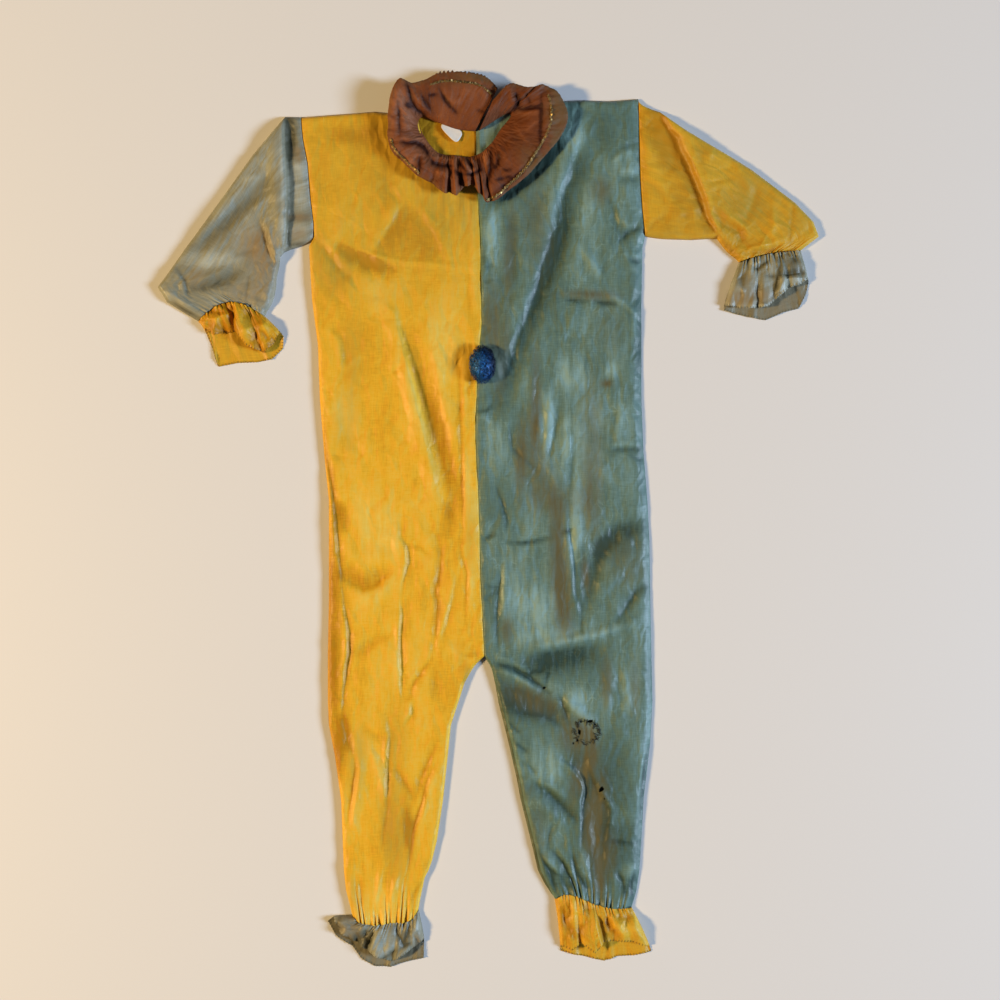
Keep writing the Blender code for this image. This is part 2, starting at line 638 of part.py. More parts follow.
def pompom_seat():
    """Lowest height at which the pompom's round underside clears both fronts."""
    seat = 0.0
    radius_x, radius_y, radius_z = POMPOM_RADII
    for half in (YELLOW, TEAL):
        for level in np.arange(POMPOM_Y - radius_y, POMPOM_Y + radius_y, 2.0):
            for share in np.linspace(0.85, 1.0, 13):
                plan = panel_plan(half, NECK_FRONT, share, float(level), SEAM_GAP / 2)
                out = math.hypot((plan[0] - POMPOM_X) / radius_x, (plan[1] - POMPOM_Y) / radius_y)
                if out < 1.0:
                    rounding = radius_z * (1.0 - math.sqrt(1.0 - out**2))
                    seat = max(seat, front_height(half, share, *plan) - rounding)
    return seat + SEAM_GAP


def neck_label(name, material):
    bm = bmesh.new()
    bmesh.ops.create_cube(bm, size=MM)
    bmesh.ops.scale(bm, verts=bm.verts, vec=LABEL_SIZE)
    thing = add_object(name, bm, material)
    thing.location = (LABEL_X * MM, LABEL_Y * MM, (WALL + SEAM_GAP + LABEL_SIZE[2] / 2) * MM)
    thing.rotation_euler.z = LABEL_TURN
    return thing


for old in list(bpy.data.objects):
    bpy.data.objects.remove(old, do_unlink=True)

yellow = cloth_material("taffeta_yellow", (0.68, 0.36, 0.03), 0.42)
teal = cloth_material("taffeta_teal", (0.12, 0.21, 0.18), 0.40)
silver = cloth_material("taffeta_silver", (0.27, 0.26, 0.18), 0.45)
red_brown = cloth_material("taffeta_red_brown", (0.17, 0.055, 0.03), 0.55)
gold = cloth_material("braid_gold", (0.55, 0.36, 0.12), 0.35, 0.8)
tinsel = cloth_material("tinsel_blue", (0.01, 0.08, 0.28), 0.30, 0.3)
tape = cloth_material("label_white", (0.78, 0.74, 0.66), 0.70)

front_panel("front_yellow", YELLOW, yellow)
cut_rips(front_panel("front_teal", TEAL, teal))
back_panel("back_yellow", YELLOW, yellow)
back_panel("back_teal", TEAL, teal)
sleeve("sleeve_yellow", YELLOW_SLEEVE_WRIST, TEAL, YELLOW_SLEEVE_FOLDS, 8, yellow)
sleeve("sleeve_silver", SILVER_SLEEVE_WRIST, YELLOW, SILVER_SLEEVE_FOLDS, 8, silver)
ruffle(
    "ankle_ruffle_silver", lambda share, top: ankle_gather(YELLOW, share),
    SILVER_ANKLE_HEM, ANKLE_ACROSS, 9, 0.4, silver,
)
ruffle(
    "ankle_ruffle_yellow", lambda share, top: ankle_gather(TEAL, 1.0 - share),
    YELLOW_ANKLE_HEM, ANKLE_ACROSS, 9, 1.9, yellow,
)
ruffle(
    "wrist_ruffle_silver",
    lambda share, top: wrist_point(YELLOW_SLEEVE_WRIST, share, top, WRIST_GAP),
    SILVER_WRIST_HEM, WRIST_ACROSS, 8, 0.8, silver,
)
ruffle(
    "wrist_ruffle_yellow",
    lambda share, top: wrist_point(SILVER_SLEEVE_WRIST, share, top, WRIST_GAP),
    YELLOW_WRIST_HEM, WRIST_ACROSS, 8, 0.8, yellow,
)
collar("collar", red_brown)
for braid_name, (braid_start, braid_stop) in BRAID_STRETCHES.items():
    braid(braid_name, braid_start, braid_stop, gold)
pompom("pompom", pompom_seat(), tinsel)
neck_label("neck_label", tape)
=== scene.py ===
"""A child's one-piece clown costume laid flat: creased taffeta, gathers, braid and tinsel.

+X points to the teal half and +Y to the collar. Sizes are in millimetres until a mesh is made.
Routes of creases and places of stains are read from the photograph, in its own pixels.
"""

import math
from collections import namedtuple

import bmesh
import bpy
import numpy as np
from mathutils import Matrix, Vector


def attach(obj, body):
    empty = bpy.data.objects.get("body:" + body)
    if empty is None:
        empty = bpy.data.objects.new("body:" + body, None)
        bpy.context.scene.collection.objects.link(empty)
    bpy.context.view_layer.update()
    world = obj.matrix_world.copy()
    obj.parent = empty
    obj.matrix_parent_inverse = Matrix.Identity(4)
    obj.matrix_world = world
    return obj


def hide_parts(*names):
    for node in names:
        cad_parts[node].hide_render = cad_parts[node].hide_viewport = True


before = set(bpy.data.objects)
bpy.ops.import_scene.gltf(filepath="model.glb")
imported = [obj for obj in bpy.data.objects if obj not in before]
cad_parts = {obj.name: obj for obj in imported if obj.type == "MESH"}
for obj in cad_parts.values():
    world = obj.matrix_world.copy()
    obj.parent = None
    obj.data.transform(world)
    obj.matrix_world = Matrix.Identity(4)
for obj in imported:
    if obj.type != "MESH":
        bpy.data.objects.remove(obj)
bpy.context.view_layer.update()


# Floor, camera and light
# A plain pale floor seen from straight above, lit by a small warm lamp low on the left and a
# large cool window on the right, so that the costume has a bluish and an orange shadow.

MM = 0.001
PIXEL_MM = 1.1
PHOTO_MIDDLE = (500.0, 500.0)
GARMENT_MIDDLE = (488.5, 519.5)
CAMERA_HEIGHT = 1.25
PHOTO_WIDTH = 1000 * PIXEL_MM * MM


def photo_mm(pixels):
    """Millimetres on the laid garment of points read in the photograph's pixels."""
    return (np.array(pixels, float) - GARMENT_MIDDLE) * (PIXEL_MM, -PIXEL_MM)


def place_node(tree, kind, inputs=None, **settings):
    """Add a shader node, set its properties, and set or link each of its named inputs."""
    made = tree.nodes.new(kind)
    for name, value in settings.items():
        setattr(made, name, value)
    for name, value in (inputs or {}).items():
        socket = made.inputs[name]
        if isinstance(value, bpy.types.NodeSocket):
            tree.links.new(value, socket)
        else:
            socket.default_value = value
    return made


view_x, view_y = photo_mm([PHOTO_MIDDLE])[0] * MM
camera_data = bpy.data.cameras.new("camera")
camera_data.sensor_width = 36.0
camera_data.lens = 36.0 * CAMERA_HEIGHT / PHOTO_WIDTH
camera = bpy.data.objects.new("camera", camera_data)
camera.location = (view_x, view_y, CAMERA_HEIGHT)
bpy.context.scene.collection.objects.link(camera)
bpy.context.scene.camera = camera


def add_mesh(name, bm, *materials):
    """A finished mesh as an object at the origin, shaded smooth."""
    mesh = bpy.data.meshes.new(name)
    bm.to_mesh(mesh)
    bm.free()
    mesh.shade_smooth()
    for material in materials:
        mesh.materials.append(material)
    made = bpy.data.objects.new(name, mesh)
    bpy.context.scene.collection.objects.link(made)
    return made


floor_paint = bpy.data.materials.new("floor_paint")
floor_paint.use_nodes = True
paint = floor_paint.node_tree.nodes["Principled BSDF"]
paint.inputs["Base Color"].default_value = (0.70, 0.695, 0.685, 1.0)
paint.inputs["Roughness"].default_value = 0.6
floor_bm = bmesh.new()
bmesh.ops.create_grid(floor_bm, x_segments=1, y_segments=1, size=6.0)
floor = add_mesh("floor", floor_bm, floor_paint)

Lamp = namedtuple("Lamp", "name across up away size watts colour")
LAMPS = [
    Lamp("warm_lamp", -4.20, 2.45, -0.50, 0.60, 292.0, (1.0, 0.69, 0.31)),
    Lamp("cool_window", 6.40, 3.00, -1.00, 1.70, 715.0, (0.63, 0.78, 1.0)),
]
for lamp in LAMPS:
    light = bpy.data.lights.new(lamp.name, "AREA")
    light.shape = "DISK"
    light.size = lamp.size
    light.energy = lamp.watts
    light.color = lamp.colour
    lamp_object = bpy.data.objects.new(lamp.name, light)
    lamp_object.location = (lamp.across, lamp.away, lamp.up)
    lamp_object.rotation_euler = (-lamp_object.location).to_track_quat("-Z", "Y").to_euler()
    bpy.context.scene.collection.objects.link(lamp_object)

world = bpy.data.worlds.new("room")
bpy.context.scene.world = world
world.use_nodes = True
world.node_tree.nodes["Background"].inputs["Color"].default_value = (0.93, 0.95, 1.0, 1.0)
world.node_tree.nodes["Background"].inputs["Strength"].default_value = 0.05
bpy.context.scene.view_settings.view_transform = "Standard"


# Taffeta
# The cloth of every panel: a thin plain weave with slubs and a dull lustre, stiff enough to
# crack into fine creases, which have worn paler along their ridges.

# Noise drawn out along the cloth: how many to the metre across and along it, and its detail
WARP_SLUBS = (1000.0, 70.0, 2.0)
WEFT_SLUBS = (85.0, 900.0, 2.0)
CLOUDS = (34.0, 15.0, 5.0)
DRAWN_STREAKS = (170.0, 16.0, 4.0)
CLOUD_TONE = 1.5
DRAWN_TONE = 0.9
# How far the streaks break up the painted shade and highlight (tone) and a stain
TONE_BREAK = 2.4
STAIN_BREAK = 2.2
WEAVE_RADIANS_PER_METRE = 2500.0
THREAD_HEIGHT = 0.10
WEAVE_BUMP = 0.55
WEAVE_DEPTH = 0.0005
GLOSS_SPREAD = 0.06
SHEEN_ROUGHNESS = 0.45
# Fine creases bound facets, longer along the cloth, with smaller chips between them
CREASE_BUMP = 0.85
BEND_SCALE = 24.0
BEND_REACH = (0.020, 0.020, 0.020)
FACET_SHAPE = (1.0, 0.55, 1.0)
FACET_TOP = 0.35
FACET_LINE = 0.045
CHIPS_TO_FACET = 2.7
CHIP_HEIGHT = 0.35
CHIP_LINE = 0.10
CHIP_WEAR = 0.8
# Where the creases have worn: size of a noise, and its values where wear begins and is full
WORN_PLACES = ((13.0, 0.46, 0.62), (85.0, 0.49, 0.60))


def new_group(name, inputs, outputs):
    """An empty shader node group with float, colour or vector sockets."""
    kinds = {"value": "NodeSocketFloat", "colour": "NodeSocketColor", "vector": "NodeSocketVector"}
    group = bpy.data.node_groups.new(name, "ShaderNodeTree")
    for label, kind in inputs.items():
        group.interface.new_socket(label, in_out="INPUT", socket_type=kinds[kind])
    for label, kind in outputs.items():
        group.interface.new_socket(label, in_out="OUTPUT", socket_type=kinds[kind])
    given = group.nodes.new("NodeGroupInput").outputs
    put = group.nodes.new("NodeGroupOutput").inputs
    return group, given, put


def streaks(tree, vector, across, along, detail):
    """Noise drawn out along the cloth: so many to the metre across the streaks and along them."""
    turned = place_node(
        tree, "ShaderNodeMapping", {"Vector": vector, "Scale": (across, along, 1.0)}
    )
    noise = place_node(
        tree, "ShaderNodeTexNoise",
        {"Vector": turned.outputs["Vector"], "Scale": 1.0, "Detail": detail, "Roughness": 0.55},
    )
    return noise.outputs["Fac"]


def maths(tree, operation, first, second=0.0, third=0.0, clamp=False):
    made = place_node(
        tree, "ShaderNodeMath", {0: first, 1: second, 2: third},
        operation=operation, use_clamp=clamp,
    )
    return made.outputs["Value"]


def mix_colour(tree, share, first, second):
    made = place_node(
        tree, "ShaderNodeMix", {"Factor": share, 6: first, 7: second}, data_type="RGBA"
    )
    return made.outputs[2]


def weave_group():
    """Threads of a plain weave, and its slubs both ways, on a vector in metres of cloth."""
    group, given, put = new_group(
        "plain_weave", {"Cloth": "vector", "Threads": "value"},
        {"Slub": "value", "Height": "value"},
    )
    warp = streaks(group, given["Cloth"], *WARP_SLUBS)
    weft = streaks(group, given["Cloth"], *WEFT_SLUBS)
    slub = maths(group, "MULTIPLY", maths(group, "ADD", warp, weft), 0.5)
    scaled = place_node(
        group, "ShaderNodeVectorMath", {0: given["Cloth"], "Scale": given["Threads"]},
        operation="SCALE",
    )
    parts = place_node(group, "ShaderNodeSeparateXYZ", {0: scaled.outputs["Vector"]})
    over = maths(group, "SINE", parts.outputs["X"])
    under = maths(group, "SINE", parts.outputs["Y"])
    thread = maths(group, "MULTIPLY", maths(group, "MULTIPLY", over, under), THREAD_HEIGHT)
    group.links.new(slub, put["Slub"])
    group.links.new(maths(group, "ADD", thread, slub), put["Height"])
    return group


def crackle_group():
    """Fine sharp creases that stiff cloth keeps, as a height, and where they have worn pale."""
    group, given, put = new_group(
        "fine_creases", {"Cloth": "vector", "Size": "value"}, {"Height": "value", "Worn": "value"}
    )
    bent = place_node(
        group, "ShaderNodeTexNoise",
        {"Vector": given["Cloth"], "Scale": BEND_SCALE, "Detail": 2.0},
    )
    warped = place_node(
        group, "ShaderNodeVectorMath",
        {0: bent.outputs["Color"], 1: BEND_REACH, 2: given["Cloth"]},
        operation="MULTIPLY_ADD",
    )
    flat = place_node(
        group, "ShaderNodeMapping",
        {"Vector": warped.outputs["Vector"], "Scale": FACET_SHAPE},
    )
    facets = place_node(
        group, "ShaderNodeTexVoronoi",
        {"Vector": flat.outputs["Vector"], "Scale": given["Size"], "Randomness": 1.0},
        feature="DISTANCE_TO_EDGE",
    )
    small = maths(group, "MULTIPLY", given["Size"], CHIPS_TO_FACET)
    chips = place_node(
        group, "ShaderNodeTexVoronoi",
        {"Vector": flat.outputs["Vector"], "Scale": small, "Randomness": 1.0},
        feature="F1",
    )
    ridge = maths(group, "MINIMUM", facets.outputs["Distance"], FACET_TOP)
    chipped = maths(group, "MULTIPLY", chips.outputs["Distance"], CHIP_HEIGHT)
    height = maths(group, "ADD", ridge, chipped)
    cracks = place_node(
        group, "ShaderNodeTexVoronoi",
        {"Vector": flat.outputs["Vector"], "Scale": small, "Randomness": 1.0},
        feature="DISTANCE_TO_EDGE",
    )
    lines = [
        place_node(
            group, "ShaderNodeMapRange",
            {"Value": value, "From Min": 0.0, "From Max": wide, "To Min": 1.0, "To Max": 0.0},
        ).outputs["Result"]
        for value, wide in (
            (facets.outputs["Distance"], FACET_LINE), (cracks.outputs["Distance"], CHIP_LINE)
        )
    ]
    worn = maths(group, "MAXIMUM", lines[0], maths(group, "MULTIPLY", lines[1], CHIP_WEAR))
    for scale, least, most in WORN_PLACES:
        places = place_node(
            group, "ShaderNodeTexNoise", {"Vector": given["Cloth"], "Scale": scale, "Detail": 3.0}
        )
        rubbed = place_node(
            group, "ShaderNodeMapRange",
            {"Value": places.outputs["Fac"], "From Min": least, "From Max": most},
        )
        worn = maths(group, "MULTIPLY", worn, rubbed.outputs["Result"])
    group.links.new(height, put["Height"])
    group.links.new(worn, put["Worn"])
    return group


WEAVE = weave_group()
CRACKLE = crackle_group()
# A dye: deep, mid and pale colours, between which the cloth's mottle and its painted shade and
# highlight run; its stain colour; its lustre, roughness and sheen
Dye = namedtuple("Dye", "deep mid pale stain lustre roughness sheen")


def taffeta(name, dye, crease_size, crease_depth, mottle, slubs, wear):
    """Cloth that reads its UV map in metres, and its painted shade and highlight (tone) and its
    stain from its own attributes.
    """
    material = bpy.data.materials.new(name)
    material.use_nodes = True
    tree = material.node_tree
    shader = tree.nodes["Principled BSDF"]
    cloth = place_node(tree, "ShaderNodeUVMap", uv_map="cloth").outputs["UV"]
    tone = place_node(tree, "ShaderNodeAttribute", attribute_name="tone").outputs["Fac"]
    stain = place_node(tree, "ShaderNodeAttribute", attribute_name="stain").outputs["Fac"]
    weave = place_node(
        tree, "ShaderNodeGroup", {"Cloth": cloth, "Threads": WEAVE_RADIANS_PER_METRE},
        node_tree=WEAVE,
    )
    crackle = place_node(
        tree, "ShaderNodeGroup", {"Cloth": cloth, "Size": crease_size}, node_tree=CRACKLE
    )

    cloud = maths(tree, "SUBTRACT", streaks(tree, cloth, *CLOUDS), 0.5)
    drawn = maths(tree, "SUBTRACT", streaks(tree, cloth, *DRAWN_STREAKS), 0.5)
    slub = maths(tree, "SUBTRACT", weave.outputs["Slub"], 0.5)
    mood = maths(tree, "MULTIPLY", cloud, CLOUD_TONE * mottle)
    mood = maths(tree, "ADD", mood, maths(tree, "MULTIPLY", drawn, DRAWN_TONE * mottle))
    mood = maths(tree, "ADD", mood, maths(tree, "MULTIPLY", slub, slubs))
    mood = maths(tree, "ADD", mood, maths(tree, "MULTIPLY", crackle.outputs["Worn"], wear))
    broken = maths(tree, "MULTIPLY_ADD", maths(tree, "ADD", drawn, cloud), TONE_BREAK, 1.0)
    # The tone attribute moves the dye towards deep in painted shade and towards pale in painted
    # highlight
    mood = maths(tree, "ADD", mood, maths(tree, "MULTIPLY", tone, broken))
    share = maths(tree, "MULTIPLY_ADD", mood, 0.5, 0.5)
    ramp = place_node(tree, "ShaderNodeValToRGB", {"Fac": share})
    stops = ramp.color_ramp.elements
    stops[0].color = (*dye.deep, 1.0)
    stops[1].color = (*dye.pale, 1.0)
    middle = stops.new(0.5)
    middle.color = (*dye.mid, 1.0)
    patches = maths(tree, "MULTIPLY_ADD", drawn, STAIN_BREAK, 1.0)
    patchy = maths(tree, "MULTIPLY", stain, patches, clamp=True)
    colour = mix_colour(tree, patchy, ramp.outputs["Color"], (*dye.stain, 1.0))
    gloss = place_node(
        tree, "ShaderNodeMapRange",
        {"Value": weave.outputs["Slub"], "From Min": 0.3, "From Max": 0.7,
         "To Min": dye.roughness + GLOSS_SPREAD, "To Max": dye.roughness - GLOSS_SPREAD},
    )
    creased = place_node(
        tree, "ShaderNodeBump",
        {"Strength": CREASE_BUMP, "Distance": crease_depth,
         "Height": crackle.outputs["Height"]},
    )
    woven = place_node(
        tree, "ShaderNodeBump",
        {"Strength": WEAVE_BUMP, "Distance": WEAVE_DEPTH, "Height": weave.outputs["Height"],
         "Normal": creased.outputs["Normal"]},
    )
    tree.links.new(colour, shader.inputs["Base Color"])
    tree.links.new(gloss.outputs["Result"], shader.inputs["Roughness"])
    tree.links.new(woven.outputs["Normal"], shader.inputs["Normal"])
    shader.inputs["Specular IOR Level"].default_value = dye.lustre
    shader.inputs["Sheen Weight"].default_value = dye.sheen
    shader.inputs["Sheen Roughness"].default_value = SHEEN_ROUGHNESS
    return material


YELLOW_DYE = Dye(
    (0.44, 0.200, 0.003), (0.745, 0.420, 0.021), (0.75, 0.54, 0.095), (0.41, 0.270, 0.030),
    0.26, 0.46, 0.02,
)
TEAL_DYE = Dye(
    (0.026, 0.056, 0.048), (0.103, 0.177, 0.148), (0.22, 0.35, 0.33), (0.105, 0.100, 0.050),
    0.34, 0.45, 0.04,
)
yellow_taffeta = taffeta(
    "taffeta_yellow", YELLOW_DYE, crease_size=46.0, crease_depth=0.0034,
    mottle=0.85, slubs=1.8, wear=0.25,
)
teal_taffeta = taffeta(
    "taffeta_teal", TEAL_DYE, crease_size=52.0, crease_depth=0.0029,
    mottle=0.9, slubs=1.5, wear=0.40,
)


# Body panels
# Each half is a back and a front of one colour, cut in one piece from shoulder to ankle and
# seamed down the sides, the middle and the inside legs. They lie on each other, creased.

CROTCH_Y = -149.0
CHEST_Y = 330.0
CALF_Y = -385.0
PANEL_WALL = 0.45
CAD_WALL = 1.4
SEAM_GAP = 0.10
FRONT_LIE = CAD_WALL + 0.5
EDGE_ROLL = 7.0
CROWN = 3.2
SEAM_SHARE = 0.6
Edge = namedtuple("Edge", "y x")
Rim = namedtuple("Rim", "x y")

CENTRE_SEAM = [
    Edge(394, -12.5), Edge(356, -11.5), Edge(307, -8.3), Edge(219, -7.2), Edge(192, -9.4),
    Edge(137, -12.7), Edge(98, -13.8), Edge(65, -12.7), Edge(21, -10.5), Edge(-66, -8.3),
    Edge(-149, -4.0),
]
YELLOW_INSIDE = CENTRE_SEAM + [
    Edge(-156, -11), Edge(-163, -17), Edge(-179, -26), Edge(-199, -32.5), Edge(-226, -41.3),
    Edge(-259, -44.6), Edge(-309, -50), Edge(-353, -56.7), Edge(-375, -62), Edge(-397, -69.9),
    Edge(-446, -77),
]
TEAL_INSIDE = CENTRE_SEAM + [
    Edge(-163, 3.5), Edge(-179, 8.5), Edge(-199, 13.8), Edge(-243, 24.8), Edge(-281, 33.6),
    Edge(-309, 39), Edge(-353, 50), Edge(-386, 57.8), Edge(-426, 73),
]
YELLOW_SIDE = [
    Edge(441.7, -206.3), Edge(417.5, -204), Edge(390, -198.6), Edge(351, -195.3),
    Edge(324, -192), Edge(309, -192.5), Edge(300, -197.5), Edge(241, -194), Edge(192, -187.6),
    Edge(131, -185.4), Edge(65, -180), Edge(21, -175.5), Edge(-89, -175.5), Edge(-149, -176.6),
    Edge(-199, -176.6), Edge(-226, -175.5), Edge(-259, -169), Edge(-309, -162),
    Edge(-386, -159), Edge(-413, -156.8), Edge(-446, -150),
]
TEAL_SIDE = [
    Edge(461.5, 164.5), Edge(417, 165.6), Edge(373, 166.7), Edge(340, 168.9), Edge(312, 172),
    Edge(299, 169), Edge(241, 167.8), Edge(131, 167.8), Edge(76, 170), Edge(21, 174.4),
    Edge(-23, 176.6), Edge(-89, 177.7), Edge(-149, 178.8), Edge(-199, 179.9), Edge(-243, 177.7),
    Edge(-281, 173.3), Edge(-309, 170), Edge(-353, 167.8), Edge(-386, 165.6), Edge(-408, 162.3),
    Edge(-426, 157),
]
SHOULDER_YELLOW = [Rim(-206.3, 441.7), Rim(-163, 445), Rim(-125, 448), Rim(-108, 446)]
SHOULDER_TEAL = [Rim(81, 459), Rim(106, 460), Rim(134, 459), Rim(164.5, 461.5)]
NECK_FRONT = [
    Rim(-78, 440), Rim(-74, 423), Rim(-64, 408), Rim(-50, 397), Rim(-30, 394), Rim(-12, 394),
    Rim(2, 403), Rim(12, 418), Rim(29, 443),
]
NECK_BACK = [
    Rim(-78, 440), Rim(-64, 439), Rim(-53, 437), Rim(-42, 434), Rim(-31, 430), Rim(-16, 426),
    Rim(-1, 433), Rim(13, 437), Rim(29, 443),
]
ANKLE_YELLOW = [
    Rim(-152, -433), Rim(-141, -441), Rim(-125, -444), Rim(-108, -441), Rim(-92, -441),
    Rim(-83, -437), Rim(-75, -426),
]
ANKLE_TEAL = [
    Rim(74, -416), Rim(82, -410), Rim(95, -411), Rim(117, -421), Rim(134, -425), Rim(157, -426),
]

# A crease or fold along a route: its width on its left (or upper) and right (or lower) side in
# the photograph, its height (below nought for a trough), and its tone: painted highlight where
# above nought and painted shade where below
Crease = namedtuple("Crease", "route left right height tone")
# Folds narrower than this stand lower, and the painted shade of a fold is browner than its depth
NARROW_FOLD = 6.5
DARKER_FOLD = 1.12
# A fold is a little softer than its widths, and a wide one is flatter on top
FOLD_SOFTENING = 0.5
WIDE_FOLD_MM = 5.5
WIDE_SHAPE = 2.6
NARROW_SHAPE = 1.6
FOLD_ENDS = 0.65
# A soft spot of colour: how far it reaches across and along, its turn in degrees, its strength
Spot = namedtuple("Spot", "x y across along turn amount")
SPOT_SHAPE = 2.6
# Small wrinkles that no table names: how many, which way most lean, and how long and high
Wrinkles = namedtuple("Wrinkles", "count lean longest height")
WRINKLE_TURN = 0.55
WRINKLE_WIDTHS = (1.6, 4.5)
WRINKLE_BOW = 0.012
# Gathers die away at both ends of a drawn-in edge
END_FADE = 6.0
Half = namedtuple(
    "Half", "side inside shoulder ankle creases pale stains top_y arm_y low_y waves phase seed"
    " side_roll side_power"
)


def table_x(rows, y):
    rows = sorted(rows)
    return np.interp(y, [row.y for row in rows], [row.x for row in rows])


def table_y(rows, x):
    rows = sorted(rows)
    return np.interp(x, [row.x for row in rows], [row.y for row in rows])


def mix(first, second, share):
    return first + (second - first) * share


def roll(distance, reach=EDGE_ROLL):
    """0 at an edge, rising to 1 as a sheet rounds over."""
    return np.sqrt(np.maximum(0.0, 1.0 - np.maximum(0.0, 1.0 - distance / reach) ** 2))


def rising(value, start, reach):
    """0 at a start, rising straight to 1 over a reach; a reach below nought runs back."""
    return np.clip((value - start) / reach, 0.0, 1.0)


def between_ends(share):
    """1 along the middle of an edge, falling to 0 at both its ends."""
    return np.clip(END_FADE * np.minimum(share, 1.0 - share), 0.0, 1.0)


def from_route(points, x, y):
    """Distance from a route, below nought on its left, and the share of the way along it."""
    away, share = np.full(x.shape, 1e6), np.zeros(x.shape)
    lengths = np.hypot(*np.diff(points, axis=0).T)
    done = 0.0
    for (from_x, from_y), (to_x, to_y), length in zip(points, points[1:], lengths):
        along_x, along_y = (to_x - from_x) / length, (to_y - from_y) / length
        off_x, off_y = x - from_x, y - from_y
        run = np.clip(off_x * along_x + off_y * along_y, 0.0, length)
        out = np.hypot(off_x - run * along_x, off_y - run * along_y)
        out = np.where(along_x * off_y - along_y * off_x > 0, -out, out)
        nearer = np.abs(out) < np.abs(away)
        away = np.where(nearer, out, away)
        share = np.where(nearer, (done + run) / lengths.sum(), share)
        done += length
    return away, share


def crease_relief(creases, x, y):
    """Height that a list of creases gives the cloth, and their painted shade and highlight."""
    height, tone = np.zeros(x.shape), np.zeros(x.shape)
    for crease in creases:
        points = photo_mm(crease.route)
        away, share = from_route(points, x, y)
        run_x, run_y = points[-1] - points[0]
        if (run_y if abs(run_y) > abs(run_x) else run_x) < 0:
            away = -away
        width = (np.where(away < 0, crease.left, crease.right) + FOLD_SOFTENING) * PIXEL_MM
        ends = np.sin(math.pi * np.clip(share, 0.0, 1.0)) ** FOLD_ENDS
        shape = np.where(width > WIDE_FOLD_MM, WIDE_SHAPE, NARROW_SHAPE)
        profile = np.exp(-(np.abs(away) / width) ** shape) * ends
        height += crease.height * profile * min(1.0, (crease.left + crease.right) / NARROW_FOLD)
        tone += crease.tone * profile * (DARKER_FOLD if crease.tone < 0 else 1.0)
    return height, tone


def spot_field(spots, x, y):
    total = np.zeros(x.shape)
    for spot in spots:
        middle = photo_mm([(spot.x, spot.y)])[0]
        turn = math.radians(spot.turn)
        off_x, off_y = x - middle[0], y - middle[1]
        across = off_x * math.cos(turn) + off_y * math.sin(turn)
        along = off_y * math.cos(turn) - off_x * math.sin(turn)
        reach = np.hypot(across / (spot.across * PIXEL_MM), along / (spot.along * PIXEL_MM))
        total += spot.amount * np.exp(-(reach**SPOT_SHAPE))
    return total


def crumple(x, y, seed, wrinkles):
    """Height of many short uneven creases, most of them leaning one way."""
    random = np.random.default_rng(seed)
    total = np.zeros(x.shape)
    for _ in range(wrinkles.count):
        at_x = random.uniform(x.min(), x.max())
        at_y = random.uniform(y.min(), y.max())
        turn = wrinkles.lean + random.normal(0.0, WRINKLE_TURN)
        length = wrinkles.longest * random.uniform(0.25, 1.0)
        width = random.uniform(*WRINKLE_WIDTHS)
        size = wrinkles.height * random.uniform(0.3, 1.0) * random.choice([-1.0, 1.0])
        off_x, off_y = x - at_x, y - at_y
        along = off_x * math.cos(turn) + off_y * math.sin(turn)
        across = off_y * math.cos(turn) - off_x * math.sin(turn)
        across = across + WRINKLE_BOW * along**2 * random.uniform(-1.0, 1.0)
        near = (np.abs(along) < length) & (np.abs(across) < 4 * width)
        fall = np.exp(-np.abs(across[near]) / width) * np.cos(along[near] / length * math.pi / 2)
        total[near] += size * fall
    return total


def pucker(share, waves, phase):
    """Uneven gathers across a drawn-in edge, between -1 and 1."""
    bend = share + 0.018 * np.sin(5.3 * share * math.tau + phase)
    bend = bend + 0.005 * np.sin(13.1 * share * math.tau + 2.0 * phase)
    return np.sin(waves * bend * math.tau + phase) * (0.68 + 0.32 * np.sin(17 * share + phase))


def top_edge(half, neck, x):
    rim = set(half.shoulder)
    if neck is NECK_FRONT or half.side is YELLOW_SIDE:
        rim |= {row for row in neck if (row.x < -10) == (half.side is YELLOW_SIDE) or row.x == -12}
    else:
        rim |= set(neck)
    return table_y(rim, x)


def panel_plan(half, neck, share, level, inset):
    """Place on the laid panel: share runs from the side to the centre, level up the body."""
    rise = rising(level, CHEST_Y, half.top_y - CHEST_Y)
    fall = rising(level, CALF_Y, half.low_y - CALF_Y)
    centre_y = np.where(level > CHEST_Y, mix(CHEST_Y, table_y(neck, -12.5), rise), level)
    side = table_x(half.side, level)
    inside = table_x(half.inside, centre_y)
    towards = np.sign(inside - side)
    x = mix(side + towards * inset, inside - towards * inset, share)
    y = np.where(level > CHEST_Y, mix(CHEST_Y, top_edge(half, neck, x), rise), level)
    y = np.where(level < CALF_Y, mix(CALF_Y, table_y(half.ankle, x), fall), y)
    return x, y, np.abs(x - side), np.abs(x - inside)


